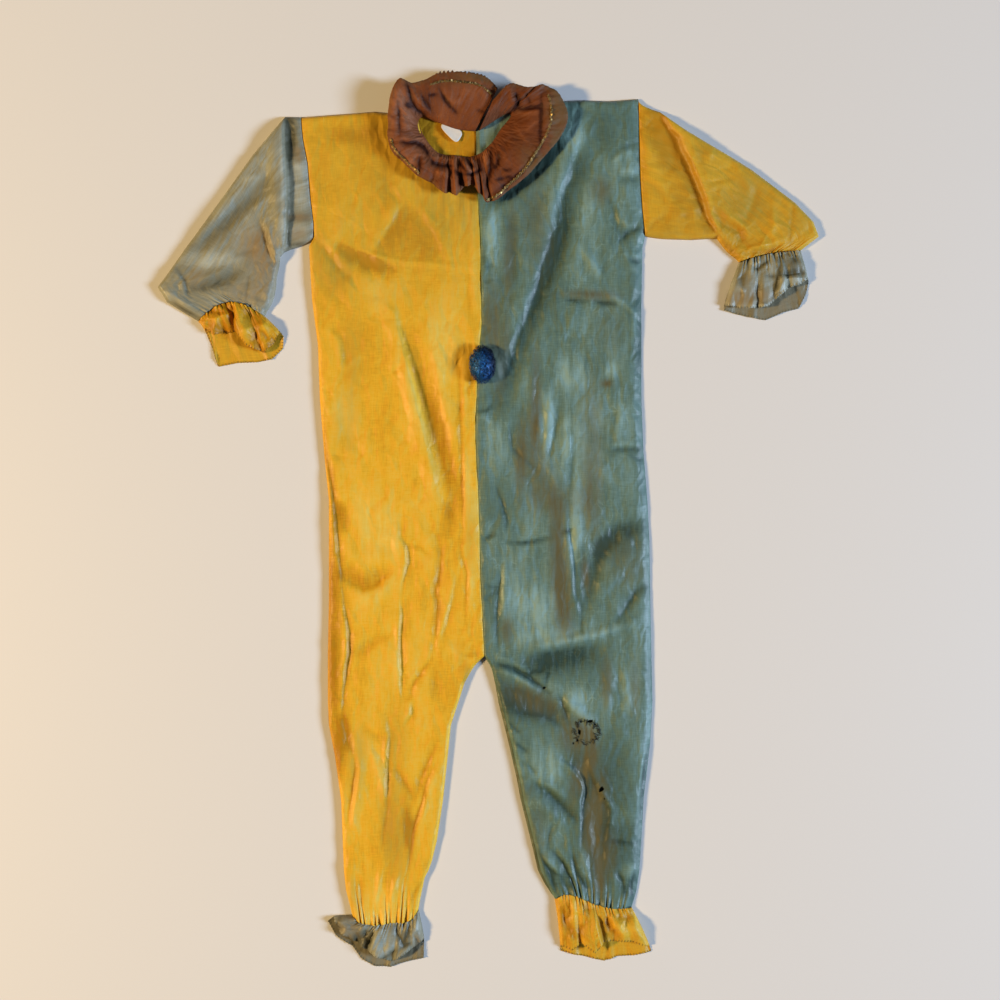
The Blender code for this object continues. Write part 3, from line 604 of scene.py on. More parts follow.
def cloth_grid(name, x, y, z, u, v, fields, material, closed=False):
    """A sheet whose places, cloth places and colour fields are arrays of rows by columns."""
    rows, columns = x.shape[0] - 1, x.shape[1] - 1
    bm = bmesh.new()
    bmesh.ops.create_grid(bm, x_segments=columns, y_segments=rows, size=0.5)
    piece = add_mesh(name, bm, material)
    mesh = piece.data
    plan = np.empty(3 * len(mesh.vertices))
    mesh.vertices.foreach_get("co", plan)
    column = np.rint((plan[0::3] + 0.5) * columns).astype(int)
    row = np.rint((plan[1::3] + 0.5) * rows).astype(int)
    places = np.stack([x[row, column], y[row, column], z[row, column]], axis=1) * MM
    mesh.vertices.foreach_set("co", places.ravel())
    corner = np.empty(len(mesh.loops), int)
    mesh.loops.foreach_get("vertex_index", corner)
    flat = np.stack([u[row, column], v[row, column]], axis=1)[corner] * MM
    mesh.uv_layers.new(name="cloth").data.foreach_set("uv", flat.ravel())
    for label, field in fields.items():
        layer = mesh.attributes.new(label, "FLOAT", "POINT")
        layer.data.foreach_set("value", field[row, column])
    if closed:
        bm = bmesh.new()
        bm.from_mesh(mesh)
        bmesh.ops.remove_doubles(bm, verts=bm.verts, dist=1e-6)
        bm.to_mesh(mesh)
        bm.free()
    mesh.update()
    return piece


def give_wall(piece, wall, offset=-1.0):
    made = piece.modifiers.new("wall", "SOLIDIFY")
    made.thickness = wall * MM
    made.offset = offset
    return piece


YELLOW_CREASES = [
    # Chest and shoulder
    Crease([(335, 241), (355, 250), (376, 257), (397, 262), (440, 266), (482, 270)],
           2, 3, 2.0, 0.35),
    Crease([(337, 242), (355, 252), (376, 260), (398, 271)], 1.3, 13, -1.8, -1.5),
    Crease([(406, 199), (395, 214), (382, 236), (368, 255)], 7, 2.5, 1.3, 0.3),
    Crease([(408, 202), (397, 217), (385, 239), (374, 254)], 1.3, 15, -0.8, -0.65),
    Crease([(409, 198), (424, 212), (440, 232), (449, 262)], 5, 3, 1.6, 0.3),
    Crease([(313, 238), (325, 250), (337, 266), (351, 281)], 3, 3, -2.4, -0.5),
    Crease([(318, 236), (331, 247), (344, 262), (356, 276)], 3, 4, 1.8, 0.35),
    Crease([(385, 160), (387, 185), (384, 216)], 4, 5, -1.0, -0.4),
    Crease([(330, 136), (350, 138), (372, 141)], 7, 7, -0.8, -0.35),
    Crease([(345, 205), (341, 228), (337, 240)], 3, 8, 1.5, 0.3),
    Crease([(471, 205), (473, 250), (475, 320)], 3, 2, 0.8, 0.45),
    Crease([(466, 215), (468, 270), (470, 335)], 2, 2, -0.7, -0.3),
    # Long diagonal fold of the belly with its shaded valley
    Crease([(376, 298), (394, 314), (406, 361), (417, 406), (428, 453), (441, 505)],
           11, 2.5, 4.0, 0.45),
    Crease([(404, 322), (418, 370), (428, 405), (440, 445), (452, 490), (456, 520)],
           6, 11, -3.4, -0.85),
    Crease([(423, 312), (432, 340), (440, 390), (450, 430), (458, 478)], 3, 8, 1.8, 0.4),
    Crease([(459, 345), (460, 415), (461, 440), (463, 500), (462, 545)], 2, 2, -1.8, -0.6),
    Crease([(464, 350), (465, 420), (466, 500), (465, 560)], 2, 3, 1.2, 0.4),
    Crease([(477, 376), (471, 385), (465, 395)], 2, 2, -1.4, -0.6),
    # Left of the belly
    Crease([(327, 329), (339, 341), (342, 369), (338, 382), (331, 399)], 3, 2, 2.0, 0.4),
    Crease([(331, 327), (345, 342), (347, 370), (342, 388)], 3, 5, -1.6, -0.4),
    Crease([(343, 371), (352, 363), (362, 354)], 3, 3, 1.4, 0.45),
    Crease([(330, 456), (341, 457), (352, 456)], 2, 2, -1.3, -0.3),
    Crease([(352, 400), (350, 430), (352, 470)], 9, 6, -1.0, -0.1),
    # Twisted side seam and the darker strip outside it
    Crease([(322, 410), (324, 453), (330, 484), (334, 509), (334, 525), (338, 561), (342, 589)],
           4, 1.6, 2.2, 0.1),
    Crease([(324, 412), (326, 453), (332, 484), (337, 525), (341, 561), (344, 592)],
           1.5, 2.5, -3.0, -0.9),
    Crease([(340, 585), (344, 615), (347, 628), (347, 650), (345, 666), (343, 685), (341, 712)],
           4, 1.6, 2.2, 0.1),
    Crease([(343, 585), (347, 615), (350, 632), (350, 652), (347, 670), (345, 690), (344, 715)],
           1.5, 2.5, -3.0, -0.9),
    Crease([(341, 500), (343, 515), (347, 534)], 5, 6, -1.6, -0.9),
    Crease([(344, 712), (345, 722), (348, 738), (353, 754)], 2, 3, -2.6, -0.7),
    # Thigh and hip
    Crease([(340, 569), (351, 582), (364, 588), (377, 584), (389, 571), (395, 564)],
           12, 2.5, -2.8, -0.6),
    Crease([(352, 590), (365, 596), (380, 590), (394, 574)], 4, 8, 1.6, 0.2),
    Crease([(398, 513), (397, 526), (399, 538), (405, 547), (406, 561), (402, 579), (399, 597)],
           3, 2, 2.2, 0.3),
    Crease([(401, 520), (402, 536), (408, 550), (409, 563), (404, 582), (402, 598)],
           1.5, 3, -2.4, -0.55),
    Crease([(399, 595), (400, 615), (398, 638), (399, 666), (400, 706)], 3, 1.5, 2.4, 0.35),
    Crease([(402, 595), (403, 615), (401, 638), (402, 666), (403, 702)], 1.5, 4, -2.8, -0.55),
    Crease([(405, 547), (412, 546), (421, 547), (428, 556)], 2, 2, -1.6, -0.45),
    Crease([(381, 540), (391, 536), (398, 548), (401, 560)], 3, 3, 1.4, 0.2),
    Crease([(447, 498), (450, 520), (447, 540)], 7, 6, -1.4, -0.6),
    Crease([(436, 526), (440, 545), (441, 566), (436, 589), (438, 608), (436, 628), (435, 655)],
           3, 3, -2.6, -0.75),
    Crease([(455, 572), (449, 600), (444, 620), (440, 634), (437, 655)], 3, 2, 2.0, 0.4),
    Crease([(458, 572), (453, 600), (447, 625), (444, 645)], 2, 4, -1.4, -0.35),
    Crease([(459, 534), (462, 557), (467, 572), (466, 595), (465, 627)], 1.4, 1.6, -2.2, -0.65),
    Crease([(471, 560), (471, 590), (470, 622)], 3, 3, 1.0, 0.25),
    Crease([(348, 654), (364, 648), (377, 638), (392, 633)], 4, 5, -1.8, -0.4),
    Crease([(447, 641), (453, 650), (462, 656), (474, 660)], 2, 2, 1.8, 0.4),
    Crease([(457, 653), (468, 655), (481, 652)], 1.5, 1.5, -1.6, -0.5),
    Crease([(434, 655), (424, 668), (413, 685), (409, 704)], 2.5, 2.5, -2.4, -0.6),
    Crease([(467, 660), (463, 679), (458, 701), (452, 725), (449, 745)], 1.5, 1.5, 1.6, 0.45),
    Crease([(470, 662), (466, 681), (461, 703), (455, 727)], 1.5, 3, -1.2, -0.5),
    Crease([(437, 655), (435, 680), (434, 700)], 3, 3, -1.0, -0.35),
    # Leg
    Crease([(389, 714), (391, 738), (389, 764), (388, 789), (388, 808), (384, 828), (383, 850)],
           2, 2, -2.6, -0.7),
    Crease([(385, 716), (387, 738), (385, 764), (384, 800)], 4, 2, 2.0, 0.3),
    Crease([(402, 722), (409, 712), (411, 698)], 2, 2, 2.6, 0.35),
    Crease([(405, 724), (413, 714), (414, 698)], 1.5, 3, -2.0, -0.5),
    Crease([(365, 726), (371, 748), (377, 764), (383, 783), (387, 800)], 3, 3, 2.0, 0.35),
    Crease([(362, 722), (372, 732), (388, 736)], 3, 6, -1.8, -0.5),
    Crease([(394, 762), (402, 777), (408, 787), (416, 799)], 3, 3, -2.6, -0.65),
    Crease([(439, 736), (431, 755), (421, 777), (416, 799)], 4, 3, -2.2, -0.6),
    Crease([(436, 759), (426, 783), (422, 802), (416, 819), (412, 834), (410, 853), (408, 881)],
           2, 2, -2.4, -0.7),
    Crease([(440, 764), (430, 786), (426, 805), (421, 822), (417, 845)], 4, 3, 1.6, 0.25),
    Crease([(352, 744), (356, 764), (354, 783), (351, 802), (347, 830)], 2, 2, -2.4, -0.5),
    Crease([(357, 746), (361, 766), (359, 785), (355, 810), (353, 834)], 2, 4, 2.2, 0.35),
    Crease([(352, 865), (361, 870), (367, 876)], 2, 2, 2.0, 0.4),
    Crease([(407, 806), (408, 825), (406, 848)], 4, 2, -0.6, -0.7),
    Crease([(386, 860), (380, 880), (376, 905)], 3, 2, 2.4, 0.4),
    Crease([(400, 868), (394, 888), (388, 912)], 3, 3, 2.4, 0.5),
    Crease([(361, 878), (362, 895), (361, 912)], 2, 2, -2.2, -0.5),
    Crease([(422, 879), (414, 893), (412, 905)], 2, 2, -2.4, -0.6),
    Crease([(350, 880), (352, 900), (353, 915)], 2, 3, 1.6, 0.3),
]
# Spots of painted sheen highlight (above nought) and painted shade (below nought) on the yellow
# front
YELLOW_SHEEN_AND_SHADE = [
    Spot(452, 230, 30, 40, 0, -0.25), Spot(407, 244, 26, 20, 0, -0.25),
    Spot(400, 195, 150, 120, 0, -0.10), Spot(375, 155, 26, 46, 0, -0.3),
    Spot(405, 700, 60, 200, 0, 0.08), Spot(440, 195, 45, 30, -35, 0.40),
    Spot(462, 240, 16, 45, 0, 0.40), Spot(345, 215, 22, 30, -20, 0.25),
    Spot(385, 290, 26, 18, 0, 0.45), Spot(443, 345, 20, 50, -8, 0.55),
    Spot(350, 375, 14, 34, -5, 0.3), Spot(345, 430, 16, 40, 0, 0.45),
    Spot(372, 530, 28, 42, 0, 0.55), Spot(325, 180, 20, 60, 0, -0.1),
    Spot(355, 135, 36, 12, 0, -0.35), Spot(425, 235, 18, 34, 20, -0.45),
    Spot(330, 285, 18, 26, 0, -0.2), Spot(365, 350, 18, 40, 0, -0.3),
    Spot(378, 440, 22, 60, 0, -0.1), Spot(357, 572, 22, 12, 0, -0.4),
    Spot(334, 640, 8, 130, 0, -1.0), Spot(343, 742, 9, 34, -10, -0.95),
    Spot(450, 690, 18, 20, 0, -0.35), Spot(392, 845, 12, 55, 0, -0.35),
    Spot(409, 825, 6, 24, 5, -0.8), Spot(365, 735, 22, 30, 0, 0.25),
    Spot(385, 905, 36, 18, 0, 0.35), Spot(360, 830, 16, 40, 0, 0.1), Spot(472, 530, 7, 90, 0, 0.35),
]
YELLOW_STAINS = [
    Spot(400, 190, 150, 125, 0, 0.40), Spot(448, 212, 40, 26, -30, 0.30),
    Spot(337, 275, 20, 20, 0, 0.45), Spot(352, 360, 12, 36, 0, 0.4), Spot(347, 425, 14, 36, 0, 0.3),
    Spot(396, 830, 14, 50, 6, 0.55), Spot(396, 740, 12, 40, 0, 0.3),
    Spot(358, 755, 10, 36, -6, 0.4), Spot(470, 690, 6, 40, 14, 0.5), Spot(465, 205, 16, 12, 0, 0.3),
    Spot(318, 250, 8, 20, 0, 0.3), Spot(471, 535, 6, 30, 0, 0.3), Spot(352, 895, 14, 24, 0, 0.3),
]
TEAL_CREASES = [
    # Long valley from the shoulder to the waist, and the ridge beside it
    Crease([(604, 124), (590, 146), (580, 164), (573, 184), (567, 204), (561, 226), (554, 250),
            (547, 270), (541, 292), (531, 316), (520, 342), (509, 370), (499, 396), (492, 424)],
           8, 12, -3.4, -0.95),
    Crease([(556, 232), (549, 258), (541, 284), (533, 306)], 5, 6, -1.4, -0.3),
    Crease([(486, 207), (500, 199), (516, 188), (532, 175), (546, 160), (560, 140)],
           6, 7, -2.4, -1.5),
    Crease([(581, 131), (569, 154), (564, 172), (558, 189), (551, 212), (545, 235)],
           8, 4, 2.2, 0.55),
    Crease([(541, 250), (533, 280), (524, 305), (512, 338), (502, 365), (494, 385)],
           14, 5, 1.6, 0.12),
    Crease([(555, 265), (545, 295), (534, 320), (523, 345), (515, 372)], 4, 12, 1.3, 0.25),
    # Armhole
    Crease([(610, 164), (627, 154), (637, 151)], 2, 2, 1.6, 0.5),
    Crease([(608, 158), (624, 148), (637, 144)], 2, 3, -1.4, -0.4),
    Crease([(617, 173), (628, 172), (639, 173)], 2, 2, 1.4, 0.5),
    Crease([(617, 180), (628, 181), (639, 180)], 3, 4, -1.2, -0.5),
    Crease([(617, 244), (627, 234), (637, 230), (644, 229)], 3, 3, -3.0, -0.9),
    Crease([(612, 200), (622, 222), (634, 236)], 3, 4, 1.6, 0.4),
    Crease([(627, 260), (634, 262), (642, 264)], 2, 2, -2.0, -0.7),
    Crease([(623, 256), (633, 256), (641, 258)], 2, 2, 1.4, 0.4),
    Crease([(606, 195), (613, 212), (616, 236)], 3, 3, -1.2, -0.3),
    # Chest
    Crease([(563, 300), (578, 302), (590, 301)], 2, 2, -2.0, -1.0),
    Crease([(591, 301), (603, 304), (618, 305)], 2, 2, -2.0, -1.0),
    Crease([(560, 295), (580, 297), (618, 299)], 2, 2, 1.6, 0.2),
    Crease([(585, 290), (610, 296), (623, 304), (633, 315), (633, 337), (627, 350)],
           2, 3, 1.8, 0.5),
    Crease([(640, 290), (641, 330), (639, 380)], 6, 6, -1.0, -0.4),
    Crease([(575, 245), (590, 262), (603, 285)], 3, 3, 1.2, 0.3),
    Crease([(484, 268), (489, 267), (494, 265)], 1.5, 1.5, -1.2, -0.5),
    Crease([(484, 283), (489, 283), (494, 281)], 1.5, 1.5, -1.2, -0.5),
    Crease([(490, 212), (492, 240), (494, 268)], 4, 4, 1.2, 0.5),
    Crease([(510, 212), (512, 250), (515, 292)], 4, 5, -1.2, -0.5),
    # Belly: streaky puckers
    Crease([(558, 405), (554, 437), (548, 458)], 2, 3, -2.2, -0.7),
    Crease([(549, 388), (548, 420), (546, 452)], 4, 3, 1.6, 0.5),
    Crease([(563, 418), (567, 436), (569, 458)], 4, 3, 1.6, 0.55),
    Crease([(572, 440), (571, 469), (569, 495)], 2, 2, -2.0, -0.6),
    Crease([(509, 425), (513, 449), (521, 456), (531, 465), (539, 474)], 1.6, 2, -2.2, -0.8),
    Crease([(540, 460), (550, 472), (558, 488)], 2, 2, 1.8, 0.4),
    Crease([(476, 412), (487, 411), (493, 404)], 1.6, 1.6, -1.6, -0.6),
    Crease([(480, 416), (488, 421), (494, 424)], 1.5, 1.5, 1.2, 0.4),
    Crease([(605, 451), (623, 449), (645, 449)], 2, 3, -2.2, -0.7),
    Crease([(626, 454), (635, 458), (645, 461)], 1.6, 2, -1.8, -0.6),
    Crease([(607, 445), (624, 444), (644, 444)], 2, 2, 1.2, 0.4),
    Crease([(530, 345), (533, 385), (531, 430)], 3, 3, 1.2, -0.1),
    Crease([(622, 400), (618, 425), (616, 446)], 3, 4, 1.4, 0.4),
    Crease([(541, 400), (543, 430), (541, 455)], 2, 2, -1.4, -0.4),
    # Hip
    Crease([(495, 484), (503, 505), (507, 522), (506, 532)], 1.6, 1.8, -2.2, -0.8),
    Crease([(504, 542), (521, 543), (534, 541), (547, 538), (556, 536)], 1.5, 1.8, -2.2, -0.9),
    Crease([(558, 534), (566, 531), (577, 528)], 1.5, 1.5, -1.8, -1.0),
    Crease([(482, 540), (490, 536), (497, 532)], 1.6, 1.6, -1.8, -0.6),
    Crease([(565, 500), (566, 528), (571, 567), (572, 592), (579, 615)], 3, 1.5, 2.2, -0.1),
    Crease([(568, 500), (569, 528), (574, 567), (575, 592), (580, 611)], 1.5, 3, -2.2, -0.5),
    Crease([(574, 492), (575, 520), (578, 550)], 4, 4, 1.4, 0.7),
    Crease([(582, 540), (583, 560), (580, 578)], 2, 2, -1.6, -0.5),
    Crease([(649, 521), (617, 532), (600, 547), (592, 573), (586, 598), (581, 613)],
           8, 8, -3.0, -0.8),
    Crease([(648, 555), (628, 562), (606, 580), (596, 600)], 8, 6, 2.0, 0.15),
    Crease([(650, 582), (636, 591), (623, 611), (614, 624)], 4, 4, -2.8, -0.75),
    Crease([(525, 649), (553, 643), (578, 638), (598, 634), (617, 627), (640, 622)],
           5, 2.5, 3.0, 0.55),
    Crease([(520, 659), (553, 653), (580, 648), (604, 646)], 4, 14, -3.4, -0.75),
    Crease([(501, 570), (499, 592), (497, 618), (498, 652)], 2, 2, -2.6, -0.8),
    Crease([(505, 556), (504, 590), (502, 620)], 2, 3, 1.6, 0.45),
    Crease([(484, 584), (492, 587), (499, 586)], 1.6, 1.6, -1.6, -0.5),
    Crease([(484, 600), (491, 595), (498, 590)], 1.6, 1.6, -1.6, -0.5),
    Crease([(581, 603), (581, 622), (582, 644)], 1.6, 1.6, -1.8, -0.5),
    Crease([(524, 617), (530, 610), (536, 603)], 1.4, 1.4, -1.0, -0.3),
    # Crotch and thigh
    Crease([(492, 662), (512, 667), (527, 675), (544, 688), (552, 694)], 1.8, 2, -3.4, -1.0),
    Crease([(497, 668), (512, 673), (526, 681), (540, 692)], 2, 4, 2.8, 0.7),
    Crease([(494, 655), (506, 658), (520, 665), (534, 677)], 2, 2, 2.0, 0.3),
    Crease([(528, 673), (536, 671), (546, 668)], 1.6, 1.6, -2.0, -0.6),
    Crease([(545, 688), (546, 678), (549, 670)], 1.6, 1.6, -1.8, -0.6),
    Crease([(557, 692), (563, 703), (567, 716), (569, 725)], 2, 2, -2.8, -0.8),
    Crease([(564, 696), (573, 708), (584, 716), (596, 722)], 6, 3, 3.0, 0.5),
    Crease([(500, 692), (522, 698), (545, 708), (566, 722)], 8, 8, -2.2, -0.7),
    Crease([(510, 709), (524, 710), (540, 712), (560, 724)], 1.8, 2, -2.0, -0.6),
    Crease([(608, 668), (606, 690), (610, 712)], 3, 3, 1.4, 0.35),
    Crease([(624, 664), (626, 690), (632, 716)], 3, 3, 1.4, 0.4),
    Crease([(616, 660), (617, 684), (622, 712)], 2.5, 2.5, -1.4, -0.3),
    Crease([(508, 720), (514, 727), (521, 732)], 1.5, 1.5, -1.8, -0.6),
    Crease([(515, 741), (522, 747), (530, 752)], 1.6, 1.6, -2.4, -0.9),
    Crease([(520, 760), (528, 764), (537, 773)], 1.8, 2, -2.2, -0.6),
    # Shin: the stained gutter down the middle, with painted shade in it, and its folds
    Crease([(569, 741), (579, 760), (588, 779), (592, 798), (597, 822)], 9, 9, -2.6, -0.5),
    Crease([(594, 806), (598, 826), (600, 850), (601, 880)], 9, 8, -2.0, -0.4),
    Crease([(552, 755), (569, 765), (579, 777), (582, 787), (579, 800), (579, 818), (578, 852)],
           3, 1.8, 2.6, 0.3),
    Crease([(556, 755), (572, 765), (583, 778), (585, 789), (582, 802), (582, 818), (581, 848)],
           1.5, 2.5, -2.6, -0.7),
    Crease([(586, 754), (595, 777), (601, 789), (611, 806), (609, 820), (605, 845), (606, 872)],
           2, 3, 2.6, 0.35),
    Crease([(604, 800), (610, 810), (606, 835), (604, 858)], 2.5, 1.6, -2.0, -0.6),
    Crease([(526, 789), (535, 783), (549, 792), (562, 805), (579, 820)], 4, 4, -3.4, -0.9),
    Crease([(530, 797), (540, 800), (553, 812), (566, 826)], 3, 5, 2.0, 0.35),
    Crease([(537, 780), (550, 784), (566, 796)], 3, 3, 1.8, 0.3),
    Crease([(551, 822), (549, 835), (547, 850)], 1.8, 1.8, -2.2, -0.7),
    Crease([(605, 839), (618, 840), (633, 842)], 1.5, 1.5, -1.8, -0.7),
    Crease([(648, 738), (641, 767), (639, 795), (637, 822)], 3, 1.6, 2.2, 0.2),
    Crease([(650, 738), (643, 767), (641, 795), (639, 822)], 1.6, 2.5, -2.6, -0.8),
    # Gathers running up from the ankle
    Crease([(536, 846), (549, 869), (557, 892)], 2, 2, -2.8, -0.9),
    Crease([(548, 845), (562, 860), (571, 877), (572, 894)], 2, 2, -2.8, -0.9),
    Crease([(572, 850), (577, 871), (587, 889)], 2, 2, -2.8, -0.9),
    Crease([(549, 867), (560, 874), (568, 890)], 2, 2, -2.4, -0.8),
    Crease([(542, 853), (555, 866), (564, 884)], 2, 3, 2.4, 0.5),
    Crease([(560, 850), (569, 864), (578, 884)], 2.5, 2, 2.4, 0.5),
    Crease([(580, 845), (586, 868), (592, 888)], 2.5, 2, 2.0, 0.5),
    Crease([(616, 868), (622, 880), (625, 898)], 2, 2, -2.6, -0.8),
    Crease([(610, 864), (614, 880), (614, 898)], 2.5, 2, 2.0, 0.4),
    Crease([(634, 868), (630, 884), (632, 900)], 2, 2, -2.6, -0.8),
]
# Spots of painted sheen highlight (above nought) and painted shade (below nought) on the teal
# front, and the paler darned patch at the knee
TEAL_SHEEN_SHADE_AND_PATCH = [
    Spot(594, 822, 12, 36, -6, -0.35), Spot(567, 380, 22, 16, 0, -0.15),
    Spot(592, 440, 14, 60, 0, 0.30), Spot(602, 132, 44, 24, 0, -0.25),
    Spot(572, 876, 34, 18, 0, -0.30), Spot(587, 731, 10, 10, 0, 0.7),
    Spot(594, 815, 34, 90, -6, -0.45), Spot(510, 690, 50, 26, -20, -0.4),
    Spot(625, 850, 30, 40, 0, -0.35), Spot(560, 480, 50, 90, 0, 0.22),
    Spot(575, 400, 50, 70, 0, 0.15), Spot(493, 238, 7, 32, 0, 0.75),
    Spot(583, 205, 12, 22, 10, 0.7), Spot(566, 376, 20, 14, 0, 0.75),
    Spot(610, 372, 7, 9, -20, 0.8), Spot(547, 425, 6, 34, 0, 0.55), Spot(568, 440, 7, 24, 0, 0.5),
    Spot(494, 445, 13, 26, 0, 0.45), Spot(574, 525, 5, 38, -3, 0.85),
    Spot(535, 610, 20, 24, -25, 0.9), Spot(511, 590, 9, 34, 0, 0.5), Spot(545, 635, 40, 8, 8, 0.5),
    Spot(625, 430, 12, 40, 0, 0.15), Spot(590, 150, 12, 22, 20, 0.45),
    Spot(575, 130, 10, 26, -15, 0.5), Spot(623, 165, 12, 20, 0, 0.3),
    Spot(560, 665, 42, 14, 6, -0.45), Spot(520, 705, 26, 14, -20, -0.65),
    Spot(620, 540, 24, 14, 20, -0.5), Spot(553, 690, 26, 10, -25, 0.3),
    Spot(580, 700, 14, 14, 0, 0.5), Spot(615, 700, 26, 28, 0, 0.3),
    Spot(543, 765, 24, 18, -30, 0.6), Spot(620, 770, 20, 40, 0, -0.15),
    Spot(558, 835, 14, 26, 0, 0.3), Spot(622, 815, 14, 10, 0, 0.25), Spot(583, 860, 8, 24, 0, 0.5),
    Spot(628, 868, 8, 8, -30, 0.7), Spot(640, 380, 7, 90, 0, -0.3), Spot(604, 790, 16, 30, 0, -0.1),
    Spot(530, 200, 18, 30, 0, -0.15), Spot(500, 520, 14, 40, 0, -0.1),
    Spot(635, 680, 8, 60, 0, 0.1), Spot(598, 240, 14, 26, 0, 0.2),
]
TEAL_STAINS = [
    Spot(587, 731, 11, 11, 0, 0.5), Spot(510, 255, 6, 46, -3, 0.6), Spot(492, 325, 10, 42, 0, 0.7),
    Spot(503, 360, 6, 40, -6, 0.5), Spot(600, 192, 10, 14, 0, 0.55),
    Spot(590, 296, 26, 5, -2, 0.75), Spot(536, 390, 5, 40, 0, 0.7),
    Spot(528, 440, 12, 34, -8, 0.65), Spot(540, 480, 12, 30, 0, 0.55),
    Spot(592, 440, 12, 60, 0, 0.40), Spot(606, 384, 6, 4, 0, 0.9), Spot(557, 545, 8, 54, 0, 0.85),
    Spot(563, 588, 7, 28, 0, 0.95), Spot(592, 500, 10, 40, 0, 0.45), Spot(585, 575, 4, 16, 5, 0.95),
    Spot(565, 620, 10, 18, 0, 0.55), Spot(610, 330, 16, 30, 0, 0.15), Spot(507, 630, 6, 14, 0, 0.6),
    Spot(534, 700, 30, 12, -22, 0.75), Spot(575, 735, 16, 18, 0, 0.85),
    Spot(583, 770, 9, 26, -22, 0.95), Spot(594, 815, 10, 38, -8, 1.25),
    Spot(600, 865, 8, 34, -2, 1.0), Spot(592, 752, 6, 18, -8, 0.4), Spot(606, 680, 6, 24, 0, 0.6),
    Spot(628, 560, 22, 26, 0, 0.35), Spot(520, 790, 12, 12, 0, 0.3),
    Spot(538, 830, 10, 26, 0, 0.35), Spot(612, 850, 6, 22, 0, 0.4), Spot(520, 470, 5, 34, 0, 0.5),
    Spot(560, 500, 26, 16, 0, 0.4), Spot(634, 690, 6, 30, 0, 0.4), Spot(537, 225, 16, 50, 0, 0.35),
]
YELLOW = Half(
    YELLOW_SIDE, YELLOW_INSIDE, SHOULDER_YELLOW, ANKLE_YELLOW, YELLOW_CREASES, YELLOW_SHEEN_AND_SHADE,
    YELLOW_STAINS, top_y=441.7, arm_y=312.0, low_y=-446.0, waves=13, phase=0.4, seed=11,
    side_roll=7.0, side_power=1,
)
TEAL = Half(
    TEAL_SIDE, TEAL_INSIDE, SHOULDER_TEAL, ANKLE_TEAL, TEAL_CREASES, TEAL_SHEEN_SHADE_AND_PATCH,
    TEAL_STAINS, top_y=461.5, arm_y=314.0, low_y=-426.0, waves=13, phase=1.9, seed=23,
    side_roll=15.0, side_power=2,
)
FRONT_COLUMNS = 120
FRONT_ROWS = 365
BACK_COLUMNS = 36
BACK_ROWS = 150
GATHER_RISE = 3.2
GATHER_DEPTH = 2.3
GATHER_REACH = 26.0
SIDE_SEAM_Z = 0.9
SHOULDER_SEAM_Z = 1.5
SHOULDER_ROLL = 6.0
NECK_MIDDLE_X = -24.0
NECK_HALF_WIDTH = 60.0
NECK_TO_SHOULDER = 12.0
SEAM_FADE = 50.0
# The folds lie lower near the shoulder and the ankle
SHOULDER_HOLD = 0.35
SHOULDER_REACH = 16.0
ANKLE_HOLD = 0.4
ANKLE_REACH = 60.0
CROTCH_OPENS = 12.0
INSIDE_LEG_ROLL = 4.0
FRONT_WRINKLES = Wrinkles(420, math.pi / 2, 34.0, 0.9)
# The front's columns stand closer together at its edges
EDGE_CROWDING = 0.07


def front_height(half, share, x, y, from_side, from_inside):
    """Height of the front's face above the surface, and the painted shade and highlight of its
    folds, wrinkles and gathers.
    """
    above_ankle = np.maximum(0.0, y - table_y(half.ankle, x))
    below_top = np.maximum(0.0, top_edge(half, NECK_FRONT, x) - y)
    seam = SEAM_SHARE * np.clip((y - CROTCH_Y) / SEAM_FADE + 1.0, 0.0, 1.0)
    inside = seam + (1.0 - seam) * roll(from_inside)
    side = roll(from_side, half.side_roll) ** half.side_power
    hold = side * inside * mix(SHOULDER_HOLD, 1.0, roll(below_top, SHOULDER_REACH))
    hold *= np.minimum(1.0, ANKLE_HOLD + above_ankle / ANKLE_REACH)
    folds, tone = crease_relief(half.creases, x, y)
    small = crumple(x, y, half.seed, FRONT_WRINKLES)
    lift = (CROWN + folds + small) * hold
    reach = GATHER_REACH * (0.70 + 0.40 * np.sin(11.0 * share + half.phase))
    near_ankle = np.exp(-above_ankle / reach)
    gathered = near_ankle * between_ends(share)
    gathers = pucker(share, half.waves, half.phase)
    lift += gathered * (GATHER_RISE + GATHER_DEPTH * gathers)
    # Painted shade and highlight follow the small wrinkles and the gathers at the ankle
    tone = tone + 0.07 * small + 0.5 * gathers * near_ankle**1.5
    height = FRONT_LIE + np.maximum(0.0, lift) + CAD_WALL
    open_leg = rising(y, CROTCH_Y, -CROTCH_OPENS)
    beside_leg = mix(1.0, roll(from_inside, INSIDE_LEG_ROLL), open_leg)
    at_sleeve = rising(y, half.arm_y, 6.0)
    beside_arm = mix(roll(from_side, 0.6 * half.side_roll) ** half.side_power, 1.0, at_sleeve)
    on_shoulder = rising(np.abs(x - NECK_MIDDLE_X), NECK_HALF_WIDTH, NECK_TO_SHOULDER)
    off_seam = mix(1.0, roll(below_top, SHOULDER_ROLL), on_shoulder)
    height = mix(SHOULDER_SEAM_Z, height, off_seam)
    return mix(SIDE_SEAM_Z, height, beside_arm * beside_leg), tone


